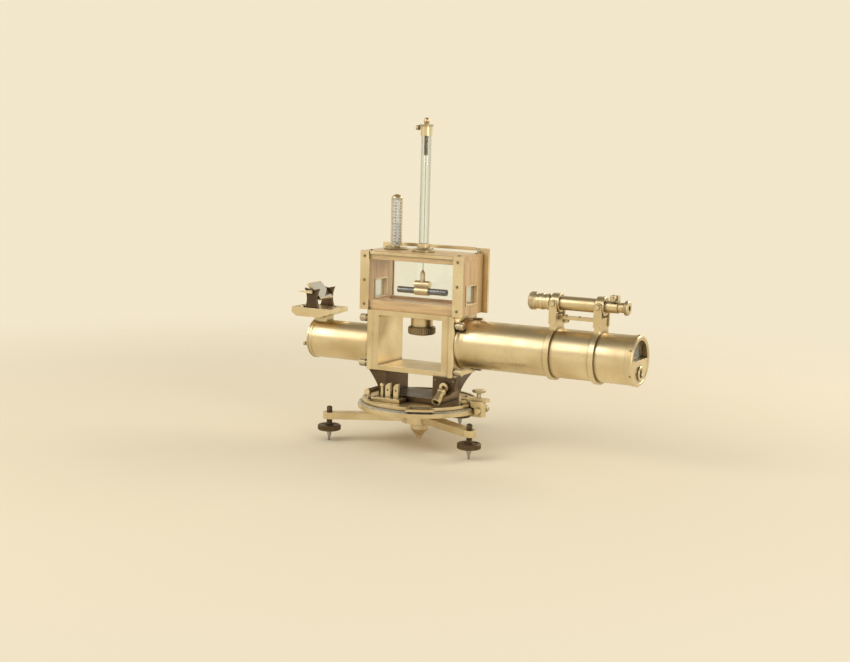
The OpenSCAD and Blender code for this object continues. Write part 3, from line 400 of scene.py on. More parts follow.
def wood(name, axis):
    """Varnished hardwood whose grain runs along the given axis (0, 1 or 2)."""
    material, tree, surface, place = new_material(name)
    squeeze = tuple(0.08 if i == axis else 1.0 for i in range(3))
    board = add(tree, "ShaderNodeMapping", {"Vector": place, "Scale": squeeze})[0]
    rings = spread(tree, noise(tree, board, 85.0, 5.0, 1.6), 0.36, 0.64)
    pores = spread(tree, noise(tree, board, 1300.0), 0.60, 0.72)
    edges = shared(tree, "edges", {"Radius": 0.0008, "Gain": 1.6})
    colour = mix_color(tree, rings, WOOD_PALE, WOOD_RING)
    colour = mix_color(tree, math_node(tree, "MULTIPLY", pores, 0.55), colour, WOOD_PORE)
    colour = mix_color(tree, edges["Mask"], colour, WOOD_RUBBED)
    rough = math_node(tree, "ADD", math_node(tree, "MULTIPLY", rings, 0.10), 0.36)
    depth = math_node(tree, "SUBTRACT", 1.0, pores)
    feed(tree, surface, {"Base Color": colour, "Roughness": rough, "Coat Weight": 0.5,
                         "Coat Roughness": 0.16,
                         "Normal": bump(tree, depth, 0.25, 0.0003, edges["Normal"])})
    return material


FINISH["wood_x"] = wood("box_wood_along_x", 0)
FINISH["wood_z"] = wood("box_wood_along_z", 2)

# %% [markdown]
# Glass, mirror and the small paints. Old window glass is faintly green and a little wavy. The
# scale of the thermometer is ivory, its liquid is mercury, the inside of a telescope is dead
# black, and engraved lines are filled with black wax.

# %% Glass, mirror and paint
def glass(name, tint, wave=0.0, rim=None):
    """Clear glass with a faint tint, an optional slow wave, and a deeper tint with painted shade
    seen edge on.
    """
    material, tree, surface, place = new_material(name)
    cloud = noise(tree, place, 24.0)
    colour = mix_color(tree, cloud, tint, tuple(min(1.0, c * 1.02) for c in tint))
    if rim:
        # Seen edge on, the glass goes towards the rim colour: its deeper tint and painted shade
        # lines.
        side = add(tree, "ShaderNodeLayerWeight", {"Blend": 0.42})["Facing"]
        colour = mix_color(tree, side, colour, rim)
    rough = math_node(tree, "ADD", math_node(tree, "MULTIPLY", cloud, 0.04), 0.02)
    feed(tree, surface, {"Transmission Weight": 1.0, "IOR": 1.5, "Base Color": colour,
                         "Roughness": rough})
    if wave:
        feed(tree, surface, {"Normal": bump(tree, cloud, wave, 0.002)})
    return material


def paint(name, base, shade, rough, scale=300.0, metallic=0.0, strength=0.1):
    """A matt or glossy paint, wax or ivory with a fine mottle."""
    material, tree, surface, place = new_material(name)
    mottle = noise(tree, place, scale, 4.0)
    gloss = math_node(tree, "ADD", math_node(tree, "MULTIPLY", mottle, 0.12), rough - 0.06)
    feed(tree, surface, {"Base Color": mix_color(tree, mottle, base, shade), "Roughness": gloss,
                         "Metallic": metallic,
                         "Normal": bump(tree, mottle, strength, 0.0003)})
    return material


# The dark rim colour is the glass's deeper tint edge on, and painted shade.
FINISH["glass"] = glass("clear_glass", (0.955, 0.980, 0.970), rim=(0.20, 0.26, 0.24))
FINISH["pane"] = glass("window_glass", (0.96, 0.985, 0.97), wave=0.05)
FINISH["lens"] = glass("lens_glass", (0.90, 0.94, 0.96))
for key, *settings in (
        ("mirror", "silvered_mirror", (0.82, 0.83, 0.83), (0.74, 0.75, 0.76), 0.13, 60, 1, 0.02),
        ("black", "matt_black", (0.012, 0.011, 0.010), (0.024, 0.022, 0.020), 0.72),
        ("ink", "engraving_wax", (0.015, 0.014, 0.013), (0.035, 0.032, 0.030), 0.5),
        ("ivory", "ivory_scale", (0.92, 0.89, 0.80), (0.86, 0.81, 0.68), 0.42, 90),
        ("mercury", "mercury", (0.62, 0.63, 0.65), (0.52, 0.53, 0.55), 0.14, 60, 1, 0),
        ("silk", "silk_thread", (0.30, 0.25, 0.18), (0.22, 0.18, 0.12), 0.6)):
    FINISH[key] = paint(*settings)
print("finishes", len(FINISH))

# %% [markdown]
# Each CAD node takes its finish by name. Turned pieces take the brass whose marks run round
# their own axis, flat plates the one with straight marks. Clear glass casts no shadow, so that
# the lamps light what stands behind it.

# %% Dress the CAD nodes
DRESS = {
    "brass": "tripod_frame vernier_window lug_bracket clamp_bar clamp_block frame_floor frame_top "
             "side_plate_left side_plate_right support_band_left support_band_right link_bar "
             "mirror_platform mirror_frame pane_guides",
    "brass_x": "frame_screws left_tube left_tube_cap right_tube right_end_cap eye_lens_mount "
               "telescope_tube objective_cell draw_tube plate_level",
    "brass_z": "limb_circle axis_socket vernier_plate vernier_magnifier azimuth_clamp_screw "
               "tangent_screw focus_knob thermometer_case suspension_flange torsion_head stirrup",
    "bronze": "cradle magnifier_bracket mirror_standards levelling_screw_left "
              "levelling_screw_right levelling_screw_rear",
    "bronze_worn": "box_clamp_nut",
    "steel": "axis_spindle foot_point_left foot_point_right foot_point_rear",
    "magnet": "magnet",
    "wood_x": "box_floor box_top",
    "wood_z": "box_wall_left box_wall_right",
    "glass": "suspension_tube window_glasses",
    "pane": "front_pane rear_pane",
    "lens": "objective_lens level_vial thermometer_stem",
    "mirror": "mirror_glass",
}
CLEAR = ("glass", "pane", "lens")


def dress(piece, finish):
    """Gives a piece one finish in place of what it had."""
    piece.data.materials.clear()
    piece.data.materials.append(FINISH[finish])


for finish_name, node_names in DRESS.items():
    for node_name in node_names.split():
        dress(nodes[node_name], finish_name)
        nodes[node_name].visible_shadow = finish_name not in CLEAR
dressed = " ".join(DRESS.values()).split()
print("dressed", len(dressed), "of", len(nodes), "nodes; left", sorted(set(nodes) - set(dressed)))

# %% [markdown]
# Every added piece comes from a few helpers that work in millimetres. A turned piece is its
# outline swept round an axis, as on a lathe; an outline that starts and ends on the axis makes a
# solid, and a closed one makes a ring. Sizes are read off the CAD nodes, so the fine work keeps
# to its piece when the model changes.

# %% Mesh helpers
MM = 0.001
FULL_TURN = (0.0, math.tau)
FRONT, BACK, RIGHT, UP = (0, -1, 0), (0, 1, 0), (1, 0, 0), (0, 0, 1)


def corners(node_name):
    """Lowest and highest corner of a CAD node, in millimetres."""
    low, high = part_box(node_name)
    return low / MM, high / MM


def centre(node_name):
    """The middle of a CAD node's box, in millimetres."""
    return [(a + b) / 2 for a, b in zip(*corners(node_name))]


def placed(x=0, y=0, z=0, facing=UP, turn=0.0):
    """Stands a piece's Z axis along a direction, at a place in millimetres."""
    stand = Vector(UP).rotation_difference(Vector(facing)).to_matrix().to_4x4()
    spin = Matrix.Rotation(turn, 4, "Z")
    return Matrix.Translation(Vector((x, y, z)) * MM) @ stand @ spin @ Matrix.Scale(MM, 4)


def mesh_from(points, faces, matrix):
    """A mesh with its doubles merged and its faces turned outwards."""
    mesh = bpy.data.meshes.new("part")
    mesh.from_pydata([matrix @ Vector(p) for p in points], [], faces)
    work = bmesh.new()
    work.from_mesh(mesh)
    bmesh.ops.remove_doubles(work, verts=work.verts, dist=1e-8)
    bmesh.ops.recalc_face_normals(work, faces=work.faces)
    work.to_mesh(mesh)
    work.free()
    return mesh


def turned(outline, matrix, steps=64, sweep=FULL_TURN, shape=None):
    """Sweeps an outline of (radius, height) round Z; shape may change a radius by its angle."""
    whole = sweep == FULL_TURN
    ring = steps if whole else steps + 1
    angles = [sweep[0] + (sweep[1] - sweep[0]) * i / steps for i in range(ring)]
    points, rows = [], []
    for radius, height in outline:
        row = []
        for angle in angles if radius else [0.0]:
            r = shape(radius, height, angle) if shape else radius
            row.append(len(points))
            points.append((r * math.cos(angle), r * math.sin(angle), height))
        rows.append(row)
    solid = outline[0][0] == 0 and outline[-1][0] == 0
    faces = []
    for a, b in zip(rows, rows[1:] + ([] if solid else rows[:1])):
        for i in range(steps):
            j = (i + 1) % ring
            corner = [a[i % len(a)], a[j % len(a)], b[j % len(b)], b[i % len(b)]]
            faces.append(list(dict.fromkeys(corner)))
    if not whole:
        faces.append([row[0] for row in rows])
        faces.append([row[-1] for row in rows][::-1])
    return mesh_from(points, faces, matrix)


def walls(starts, count):
    """Faces between neighbouring rings of points, given the index at which each ring starts."""
    return [[a + i, a + (i + 1) % count, b + (i + 1) % count, b + i]
            for a, b in zip(starts, starts[1:]) for i in range(count)]


def block(low, high, matrix=None, edge=0.0):
    """A rectangular bar between two corners; edge cuts its upper rim back."""
    (x0, y0, z0), (x1, y1, z1) = low, high
    rings = [((x0, y0, x1, y1), z0), ((x0, y0, x1, y1), z1 - edge),
             ((x0 + edge, y0 + edge, x1 - edge, y1 - edge), z1)]
    points = [(x, y, z) for (a, b, c, d), z in rings for x, y in ((a, b), (c, b), (c, d), (a, d))]
    faces = [[0, 1, 2, 3], [8, 9, 10, 11]] + walls((0, 4, 8), 4)
    return mesh_from(points, faces, matrix or placed())


def joined(name, meshes):
    """Joins meshes to one new mesh and removes them."""
    work = bmesh.new()
    for mesh in meshes:
        work.from_mesh(mesh)
        bpy.data.meshes.remove(mesh)
    whole = bpy.data.meshes.new(name)
    work.to_mesh(whole)
    work.free()
    return whole


def piece(name, meshes, finish, body, slot=None, smooth=None):
    """Joins meshes to one named piece with a finish, riding on a body."""
    mesh = joined(name, meshes)
    if smooth:
        mesh.shade_smooth()
        mesh.set_sharp_from_angle(angle=math.radians(smooth))
    made = new_object(name, mesh)
    dress(made, finish)
    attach(made, body)
    print(name, len(mesh.polygons), "faces on", body)
    return made


def brasswork(name, meshes, body, finish="brass"):
    """A piece of lacquered brass, riding on a body."""
    return piece(name, meshes, finish, body, "lacquered_brass")


# %% [markdown]
# Divisions, milled edges and ladders of ticks are all the same thing: many equal bars at equal
# steps. One Geometry Nodes tree sets them out by their index, round a ring or up a line, and its
# inputs give their count, size and step. Skipping every nth bar leaves room for a longer one.

# %% Tree of bars
BAR_INPUTS = {"Count": WHOLE, "Radius": FLOAT, "First": FLOAT, "Step": FLOAT, "Climb": FLOAT,
              "Length": FLOAT, "Width": FLOAT, "Height": FLOAT, "Slope": FLOAT,
              "Group": WHOLE, "Keep From": WHOLE, "Finish": "NodeSocketMaterial"}


def new_tree(name, inputs):
    """An empty Geometry Nodes tree with named inputs and a geometry in and out."""
    tree = bpy.data.node_groups.new(name, "GeometryNodeTree")
    for way in ("INPUT", "OUTPUT"):
        tree.interface.new_socket("Geometry", in_out=way, socket_type="NodeSocketGeometry")
    for socket, kind in inputs.items():
        tree.interface.new_socket(socket, in_out="INPUT", socket_type=kind)
    return tree, tree.nodes.new("NodeGroupInput").outputs, tree.nodes.new("NodeGroupOutput")


def end_tree(tree, instances, given, result):
    """Ends a tree in Realize Instances and Set Material."""
    real = add(tree, "GeometryNodeRealizeInstances", {"Geometry": instances})[0]
    coat = add(tree, "GeometryNodeSetMaterial", {"Geometry": real, "Material": given["Finish"]})
    feed(tree, result, {"Geometry": coat["Geometry"]})
    return tree


def combine(tree, *values):
    """The vector of a Combine XYZ node over numbers or sockets."""
    return add(tree, "ShaderNodeCombineXYZ", dict(enumerate(values)))[0]


def bars_tree():
    """Equal bars round a ring, up a line, or both."""
    tree, size, result = new_tree("equal_bars", BAR_INPUTS)
    index = add(tree, "GeometryNodeInputIndex")[0]
    angle = math_node(tree, "ADD", size["First"], math_node(tree, "MULTIPLY", index, size["Step"]))
    across, along = (math_node(tree, "MULTIPLY", size["Radius"], math_node(tree, wave, angle))
                     for wave in ("COSINE", "SINE"))
    spot = combine(tree, across, along, math_node(tree, "MULTIPLY", index, size["Climb"]))
    points = add(tree, "GeometryNodePoints", {"Count": size["Count"], "Position": spot})[0]
    measure = combine(tree, size["Length"], size["Width"], size["Height"])
    bar = add(tree, "GeometryNodeMeshCube", {"Size": measure})["Mesh"]
    place = math_node(tree, "MODULO", index, size["Group"])
    least = math_node(tree, "SUBTRACT", size["Keep From"], 0.5)
    set_out = add(tree, "GeometryNodeInstanceOnPoints", {
        "Points": points, "Instance": bar, "Rotation": combine(tree, 0.0, size["Slope"], angle),
        "Selection": math_node(tree, "GREATER_THAN", place, least)})["Instances"]
    return end_tree(tree, set_out, size, result)


def grown(tree, values, matrix, seed_mesh=None):
    """Runs a tree with its inputs set by identifier; returns a plain mesh."""
    host = new_object("host", seed_mesh or bpy.data.meshes.new("host"))
    modifier = host.modifiers.new("grow", "NODES")
    modifier.node_group = tree
    for item in tree.interface.items_tree:
        if item.in_out == "INPUT" and item.name in values:
            modifier[item.identifier] = values[item.name]
    graph = bpy.context.evaluated_depsgraph_get()
    mesh = bpy.data.meshes.new_from_object(host.evaluated_get(graph))
    host.modifiers.clear()
    bpy.data.objects.remove(host)
    mesh.transform(matrix)
    return mesh


BARS = bars_tree()


def bars(finish, matrix, count, length, width, height, radius=0.0, first=0.0, step=None,
         climb=0.0, slope=0.0, group=1, keep=0):
    """Bars in millimetres; with no step they share a full turn."""
    values = {"Count": count, "Radius": radius, "First": first,
              "Step": math.tau / count if step is None else step, "Climb": climb,
              "Length": length, "Width": width, "Height": height, "Slope": slope,
              "Group": group, "Keep From": keep, "Finish": FINISH[finish]}
    floats = {k: float(v) if BAR_INPUTS[k] == FLOAT else v for k, v in values.items()}
    return grown(BARS, floats, matrix)


print("tree", BARS.name, "with", len(BAR_INPUTS), "inputs")

# %% [markdown]
# Numbers are plain text made solid, thin as wax in an engraved line. They are turned into meshes
# before they are placed, so that the export sees ordinary geometry.

# %% Numbers
WAX_T = 0.02


def numbers(places, height):
    """Plain numbers, one for each (text, matrix), as thin solids in one list of meshes."""
    holders = []
    for text, _ in places:
        curve = bpy.data.curves.new("number", "FONT")
        curve.body, curve.size, curve.extrude, curve.resolution_u = text, height, WAX_T, 3
        curve.align_x = curve.align_y = "CENTER"
        holders.append(new_object("number", curve))
    graph = bpy.context.evaluated_depsgraph_get()
    meshes = []
    for holder, (_, matrix) in zip(holders, places):
        mesh = bpy.data.meshes.new_from_object(holder.evaluated_get(graph))
        mesh.transform(matrix)
        meshes.append(mesh)
        bpy.data.objects.remove(holder)
    return meshes


# %% [markdown]
# The limb's bevel is silvered so that fine lines read on it. The lines are engraved at every
# degree, longer at five and ten, and the tens are numbered. They lie on a cone, so the bars are
# sloped by the bevel's own angle.

# %% Divided circle
BEVEL_W, BEVEL_DROP = 5.0, 3.5
SILVER_PROUD, SILVER_T, SILVER_MARGIN = 0.06, 0.3, 0.25
LINES_FROM, LINE_T, NUMBERS_AT, NUMBER_H = 0.5, 0.04, 4.55, 1.9
DEGREE = math.radians(1.0)
limb_high = corners("limb_circle")[1]
LIMB_R, LIMB_TOP = limb_high.x, limb_high.z
BEVEL_SLOPE = math.atan2(BEVEL_DROP, BEVEL_W)
BEVEL_LENGTH = math.hypot(BEVEL_W, BEVEL_DROP)


def on_bevel(distance, proud):
    """Radius and height on the limb's bevel, by distance from its inner edge."""
    share = distance / BEVEL_LENGTH
    return (LIMB_R - BEVEL_W * (1 - share) + proud * math.sin(BEVEL_SLOPE),
            LIMB_TOP - BEVEL_DROP * share + proud * math.cos(BEVEL_SLOPE))


def bevel_lines(count, length, width, group=1, keep=0):
    """Radial lines that start near the bevel's inner edge."""
    radius, height = on_bevel(LINES_FROM + length / 2, SILVER_PROUD)
    return bars("ink", placed(z=height), count, length, width, LINE_T, radius=radius,
                slope=BEVEL_SLOPE, group=group, keep=keep)


def limb_number(degrees):
    """Place of one number on the bevel, read from outside the circle."""
    radius, height = on_bevel(NUMBERS_AT, SILVER_PROUD)
    stand = Matrix.Rotation(BEVEL_SLOPE, 4, "Y") @ Matrix.Rotation(math.pi / 2, 4, "Z")
    return Matrix.Rotation(degrees * DEGREE, 4, "Z") @ placed(radius, 0, height) @ stand


silver_ring = turned([on_bevel(SILVER_MARGIN, SILVER_PROUD),
                      on_bevel(BEVEL_LENGTH - SILVER_MARGIN, SILVER_PROUD),
                      on_bevel(BEVEL_LENGTH - SILVER_MARGIN, -SILVER_T),
                      on_bevel(SILVER_MARGIN, -SILVER_T)], placed(), steps=180)
piece("limb_silver_ring", [silver_ring], "silver", "tripod", smooth=30)
piece("limb_divisions",
      [bevel_lines(360, 1.5, 0.16, group=5, keep=1), bevel_lines(72, 2.2, 0.2, group=2, keep=1),
       bevel_lines(36, 2.9, 0.26)]
      + numbers([(str(d), limb_number(d)) for d in range(0, 360, 10)], NUMBER_H),
      "ink", "tripod")

# %% [markdown]
# The vernier under the window is a short silvered arc on the plate's rim. It turns with the
# alidade, and its finer lines are set out over the sight hole only.

# %% Vernier arc
RIM_W, RIM_EDGE = 4.0, 0.8
plate_high = corners("vernier_plate")[1]
PLATE_R, PLATE_TOP = plate_high.x, plate_high.z
WINDOW_TURN, VERNIER_HALF = 28.0, math.radians(9.0)
WINDOW_ANGLE = math.radians(WINDOW_TURN - 90.0)
ARC_IN, ARC_OUT, ARC_T = PLATE_R - RIM_W + 0.3, PLATE_R - RIM_EDGE - 0.2, 0.2
LINES_SHARE = 0.95
vernier_arc = turned([(ARC_IN, PLATE_TOP - ARC_T), (ARC_OUT, PLATE_TOP - ARC_T),
                      (ARC_OUT, PLATE_TOP + SILVER_PROUD), (ARC_IN, PLATE_TOP + SILVER_PROUD)],
                     placed(), steps=40,
                     sweep=(WINDOW_ANGLE - VERNIER_HALF, WINDOW_ANGLE + VERNIER_HALF))
piece("vernier_arc", [vernier_arc], "silver", "alidade")


def vernier_lines(count, length, group, keep):
    """Lines of the vernier, starting at its outer edge."""
    half = LINES_SHARE * VERNIER_HALF
    return bars("ink", placed(z=PLATE_TOP + SILVER_PROUD), count, length, 0.13, LINE_T,
                radius=ARC_OUT - length / 2, first=WINDOW_ANGLE - half,
                step=2 * half / (count - 1), group=group, keep=keep)


piece("vernier_lines", [vernier_lines(61, 1.2, 10, 1), vernier_lines(7, 2.0, 1, 0)], "ink",
      "alidade")

# %% [markdown]
# Milled edges give the fingers a hold. The ribs are bars sunk halfway into the head's rim, as
# many as fit at a pitch of about a millimetre, so a larger head has more ribs of the same size.

# %% Milled edges
RIB_PITCH, RIB_PROUD, RIB_DEPTH = 1.05, 0.3, 1.0
FRAME_SCREW_R, FRAME_HEAD, FRAME_MARGIN = 6.0, 12.0, 0.9
KNOB_R, CAP_SCREW_R, CAP_SCREWS = 3.8, 2.9, [(-25, -8), (-15, 0)]
# Each rim's width, and how far its middle is from the end of its piece. The focusing knob's
# second number is instead the place of its rim across the telescope.
CLAMP_RIM, TANGENT_RIM, FOCUS_RIM, KNOB_RIM = (2.8, 2.25), (6.2, 4.0), (5.2, -8.8), (3.6, 3.5)
DRUM_RIM, CELL_RIM, EYE_RIM, CAP_RIM = (1.2, 12.0), (6.4, 5.2), (3.4, 4.0), (3.6, 2.5)
KNOB_DOWN = 16.5


def milled(radius, width, x, y, z, facing=UP, pitch=RIB_PITCH):
    """Ribs round a head of the given radius, about the middle of its rim."""
    return bars("brass", placed(x, y, z, facing), round(math.tau * radius / pitch), RIB_DEPTH,
                0.5 * pitch, width, radius=radius + RIB_PROUD - RIB_DEPTH / 2)


low, high = corners("frame_screws")
across = high.y - FRAME_SCREW_R
brasswork("frame_screw_milling",
          [milled(FRAME_SCREW_R, FRAME_HEAD - 2 * FRAME_MARGIN,
                  s * (high.x - FRAME_HEAD / 2), y, z, (s, 0, 0))
           for s in (-1, 1) for y in (-across, across)
           for z in (low.z + FRAME_SCREW_R, high.z - FRAME_SCREW_R)], "alidade")
low, high = corners("azimuth_clamp_screw")
brasswork("clamp_screw_milling",
          [milled((high.x - low.x) / 2, CLAMP_RIM[0], (high.x + low.x) / 2, 0,
                  high.z - CLAMP_RIM[1])], "clamp_screw")
low, high = corners("tangent_screw")
brasswork("tangent_screw_milling",
          [milled((high.x - low.x) / 2, TANGENT_RIM[0], (high.x + low.x) / 2,
                  high.y - TANGENT_RIM[1], (high.z + low.z) / 2, BACK)], "slow_motion_screw")
low, high = corners("focus_knob")
radius = (high.x - low.x) / 2
brasswork("focus_knob_milling",
          [milled(radius, FOCUS_RIM[0], low.x + radius, FOCUS_RIM[1], low.z + radius, BACK)],
          "focusing_pinion")
low, high = corners("torsion_head")
brasswork("torsion_head_milling",
          [milled(KNOB_R, KNOB_RIM[0], low.x + KNOB_RIM[1], 0, high.z - KNOB_DOWN, RIGHT),
           milled(high.x, DRUM_RIM[0], 0, 0, high.z - DRUM_RIM[1], pitch=0.9)], "torsion_top")
low, high = corners("objective_cell")
SCOPE_Z = centre("objective_cell")[2]
brasswork("objective_cell_milling",
          [milled(high.y, CELL_RIM[0], low.x + CELL_RIM[1], 0, SCOPE_Z, RIGHT)],
          "telescope", "brass_x")
draw_high = corners("draw_tube")[1]
brasswork("eyepiece_milling",
          [milled(draw_high.y, EYE_RIM[0], draw_high.x - EYE_RIM[1], 0, SCOPE_Z, RIGHT)],
          "eyepiece", "brass_x")
low, high = corners("left_tube_cap")
brasswork("cap_screw_milling",
          [milled(CAP_SCREW_R, CAP_RIM[0], low.x + CAP_RIM[1], y, (low.z + high.z) / 2 + z,
                  (-1, 0, 0)) for y, z in CAP_SCREWS], "alidade")

# %% [markdown]
# The levelling screws are the one place where a real thread shows. Each CAD screw is plain, so
# a finer one stands for it: the same disc, collar and shank, with a thread cut by lowering the
# radius along a helix and a milled rim of bars. It keeps the bore for the foot's pivot.

# %% Levelling screws
THREAD_PITCH, THREAD_DEPTH = 1.25, 0.42
THREAD_STEP = THREAD_PITCH / 6
DISC_R, DISC_T, COLLAR_R, COLLAR_H = 19.0, 9.0, 6.55, 2.0
SHANK_R, SHANK_DOME, PIVOT_R, PIVOT_H = 4.75, 3.0, 1.55, 6.3
KNURL_DEPTH, CHAMFER = 0.45, 1.2
GROOVE_OUT, GROOVE_IN, GROOVE_SLANT, GROOVE_DEPTH = 13.0, 8.0, 0.5, 0.8
THREAD_START, THREAD_END, COLLAR_EDGE = 0.6, 0.8, 0.4
DISC_RIBS, DISC_RIB_W, DISC_RIB_MARGIN = 84, 0.72, 1.3


def levelling_screw(side):
    """A threaded levelling screw with a milled disc, in place of its CAD node."""
    node_name = "levelling_screw_" + side
    low, high = corners(node_name)
    x, y, _ = centre(node_name)
    top = high.z - low.z - SHANK_DOME
    thread_low, thread_high = DISC_T + COLLAR_H + THREAD_START, top - THREAD_END
    rows = int((thread_high - thread_low) / THREAD_STEP)

    def threaded(radius, height, angle):
        """Radius at a height and angle, cut down along the helix inside the thread's length."""
        if radius != SHANK_R or not thread_low <= height <= thread_high:
            return radius
        turn = (height / THREAD_PITCH - angle / math.tau) % 1.0
        return radius - THREAD_DEPTH * abs(2.0 * turn - 1.0)

    rim = DISC_R - KNURL_DEPTH
    outline = [(0, PIVOT_H), (PIVOT_R, PIVOT_H), (PIVOT_R, 0), (rim - CHAMFER, 0), (rim, CHAMFER),
               (rim, DISC_T - CHAMFER), (rim - CHAMFER, DISC_T), (GROOVE_OUT, DISC_T),
               (GROOVE_OUT - GROOVE_SLANT, DISC_T - GROOVE_DEPTH),
               (GROOVE_IN + GROOVE_SLANT, DISC_T - GROOVE_DEPTH), (GROOVE_IN, DISC_T),
               (COLLAR_R, DISC_T), (COLLAR_R, DISC_T + COLLAR_H - COLLAR_EDGE),
               (COLLAR_R - COLLAR_EDGE, DISC_T + COLLAR_H), (SHANK_R, DISC_T + COLLAR_H)]
    outline += [(SHANK_R, thread_low + THREAD_STEP * i) for i in range(rows + 1)]
    outline += [(SHANK_R * math.cos(a), top + SHANK_DOME * math.sin(a))
                for a in (math.radians(15 * i) for i in range(6))] + [(0, high.z - low.z)]
    body = turned(outline, placed(x, y, low.z), steps=48, shape=threaded)
    ribs = bars("bronze", placed(x, y, low.z + DISC_T / 2), DISC_RIBS, RIB_DEPTH, DISC_RIB_W,
                DISC_T - 2 * DISC_RIB_MARGIN, radius=DISC_R - RIB_DEPTH / 2)
    made = piece("levelling_screw_threaded_" + side, [body, ribs], "bronze", "screw_" + side,
                 "bronzed_brass", smooth=25)
    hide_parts(node_name)


for side_name in ("left", "right", "rear"):
    levelling_screw(side_name)

# %% [markdown]
# The thermometer is a glass stem before an ivory scale in a slotted brass case. The scale is
# divided into degrees on both sides of the stem, bold at every fifth one as in the drawing, and
# numbered at the tens from ten below zero. The mercury stands at an ordinary room temperature.

# %% Thermometer
case_low, case_high = corners("thermometer_case")
stem_low = corners("thermometer_stem")[0]
THERM_R = 9.5
CASE_TURN = math.radians(30)
CASE_X, CASE_Y, _ = centre("thermometer_case")
CASE_PLACE = placed(CASE_X, CASE_Y, case_low.z, turn=CASE_TURN)
SLOT_HALF, SLOT_BACK, SLOT_LOW = THERM_R - 2, -2.0, 8.0
SLOT_HIGH = case_high.z - case_low.z - 6
SCALE_FACE = SLOT_BACK - 0.8
DEGREES, DEGREE_PITCH, LOWEST, LOWEST_LINE = 65, 0.98, -10, 12.0
LEFT_END, RIGHT_START, RIGHT_ROOM = -0.4, 4.4, 2.7
TEMPERATURE = 22
FACING_SLOT = Matrix.Rotation(math.pi / 2, 4, "X")

piece("thermometer_scale",
      [block((-SLOT_HALF + 0.1, SCALE_FACE, SLOT_LOW + 0.1),
             (SLOT_HALF - 0.1, SLOT_BACK, SLOT_HIGH - 0.2), CASE_PLACE)], "ivory", "alidade")


def scale_lines(every, length, height, skip):
    """Level lines beside the stem at every so many degrees; skip leaves out every nth."""
    right = min(length, RIGHT_ROOM)
    return [bars("ink", CASE_PLACE @ Matrix.Translation((middle, SCALE_FACE, LOWEST_LINE)),
                 DEGREES // every + 1, reach, 0.06, height, step=0.0, climb=every * DEGREE_PITCH,
                 group=skip, keep=1 if skip > 1 else 0)
            for middle, reach in ((LEFT_END - length / 2, length),
                                  (RIGHT_START + right / 2, right))]


def scale_number(tens):
    """Place of one number to the left of its line."""
    height = LOWEST_LINE + 10 * tens * DEGREE_PITCH
    return CASE_PLACE @ Matrix.Translation((-5.6, SCALE_FACE, height)) @ FACING_SLOT


piece("thermometer_lines",
      scale_lines(1, 1.3, 0.14, 5) + scale_lines(5, 2.4, 1.1, 2) + scale_lines(10, 3.0, 1.1, 1)
      + numbers([(str(abs(LOWEST + 10 * t)), scale_number(t)) for t in range(DEGREES // 10 + 1)],
                2.6),
      "ink", "alidade")

STEM_X, STEM_Y, _ = centre("thermometer_stem")
BULB_R, BULB_Z, COLUMN_R = 1.45, 2.2, 0.62
column_top = LOWEST_LINE + (TEMPERATURE - LOWEST) * DEGREE_PITCH - SLOT_LOW
bulb = [(BULB_R * math.cos(a), BULB_Z + BULB_R * math.sin(a))
        for a in (math.radians(-90 + 15 * i) for i in range(10))]
bulb[0] = (0, BULB_Z - BULB_R)
piece("mercury_column",
      [turned(bulb + [(COLUMN_R, BULB_Z + 2.6), (COLUMN_R, column_top), (0, column_top + 0.5)],
              placed(STEM_X, STEM_Y, stem_low.z), steps=24)], "mercury", "alidade", smooth=50)

# %% [markdown]
# Slotted screws hold the strips, flanges and brackets. The head is one small mesh of a dome cut
# by a slot. A second tree sets it on every point of a mesh, turned to face along the point's own
# direction, sized by the point, and with its slot left at any angle, as a fitter leaves it.

# %% Slotted screws
SLOT_W, SLOT_DEPTH = 0.16, 0.3
HEAD_H, DOME_R, DOME_H, FOOT_R = 0.55, 0.82, 0.22, 0.97


def slotted_head():
    """A screw head of radius 1, made of a disc and two half rounds with a slot between."""
    points, faces = [], []
    reach = math.acos(SLOT_W)
    for half in (0, math.pi):
        arc = [half - reach + 2 * reach * i / 9 for i in range(10)]
        rings = [(1.0, 0.0), (1.0, HEAD_H - DOME_H), (DOME_R, HEAD_H)]
        base = len(points)
        for radius, z in rings:
            for a in arc:
                x = math.copysign(max(abs(radius * math.cos(a)), SLOT_W), math.cos(a))
                points.append((x, radius * math.sin(a), z))
        n = len(arc)
        faces.append([base + i for i in range(n)])
        faces.append([base + 2 * n + i for i in range(n)])
        faces += walls((base, base + n, base + 2 * n), n)
    foot = [(0, 0.01), (FOOT_R, 0.01), (FOOT_R, HEAD_H - SLOT_DEPTH), (0, HEAD_H - SLOT_DEPTH)]
    return joined("slotted_head", [mesh_from(points, faces, Matrix.Identity(4)),
                                   turned(foot, Matrix.Identity(4), steps=20)])


def attribute(tree, name, kind):
    """A Named Attribute node's live output."""
    outputs = add(tree, "GeometryNodeInputNamedAttribute", {"Name": name}, data_type=kind)
    return next(o for o in outputs if o.enabled and o.name == "Attribute")


def heads_tree():
    """The head of a screw on every point, facing along the point's direction."""
    tree, given, result = new_tree("screw_heads", {"Head": "NodeSocketObject",
                                                   "Finish": "NodeSocketMaterial"})
    head = add(tree, "GeometryNodeObjectInfo", {"Object": given["Head"]})["Geometry"]
    spun = combine(tree, 0.0, 0.0, attribute(tree, "turn", "FLOAT"))
    aligned = add(tree, "FunctionNodeAlignRotationToVector", {
        "Vector": attribute(tree, "facing", "FLOAT_VECTOR"), "Rotation": spun}, axis="Z")[0]
    set_out = add(tree, "GeometryNodeInstanceOnPoints", {
        "Points": given["Geometry"], "Instance": head, "Rotation": aligned,
        "Scale": attribute(tree, "size", "FLOAT")})["Instances"]
    return end_tree(tree, set_out, given, result)


HEADS = heads_tree()
HEAD = bpy.data.objects.new("slotted_head", slotted_head())


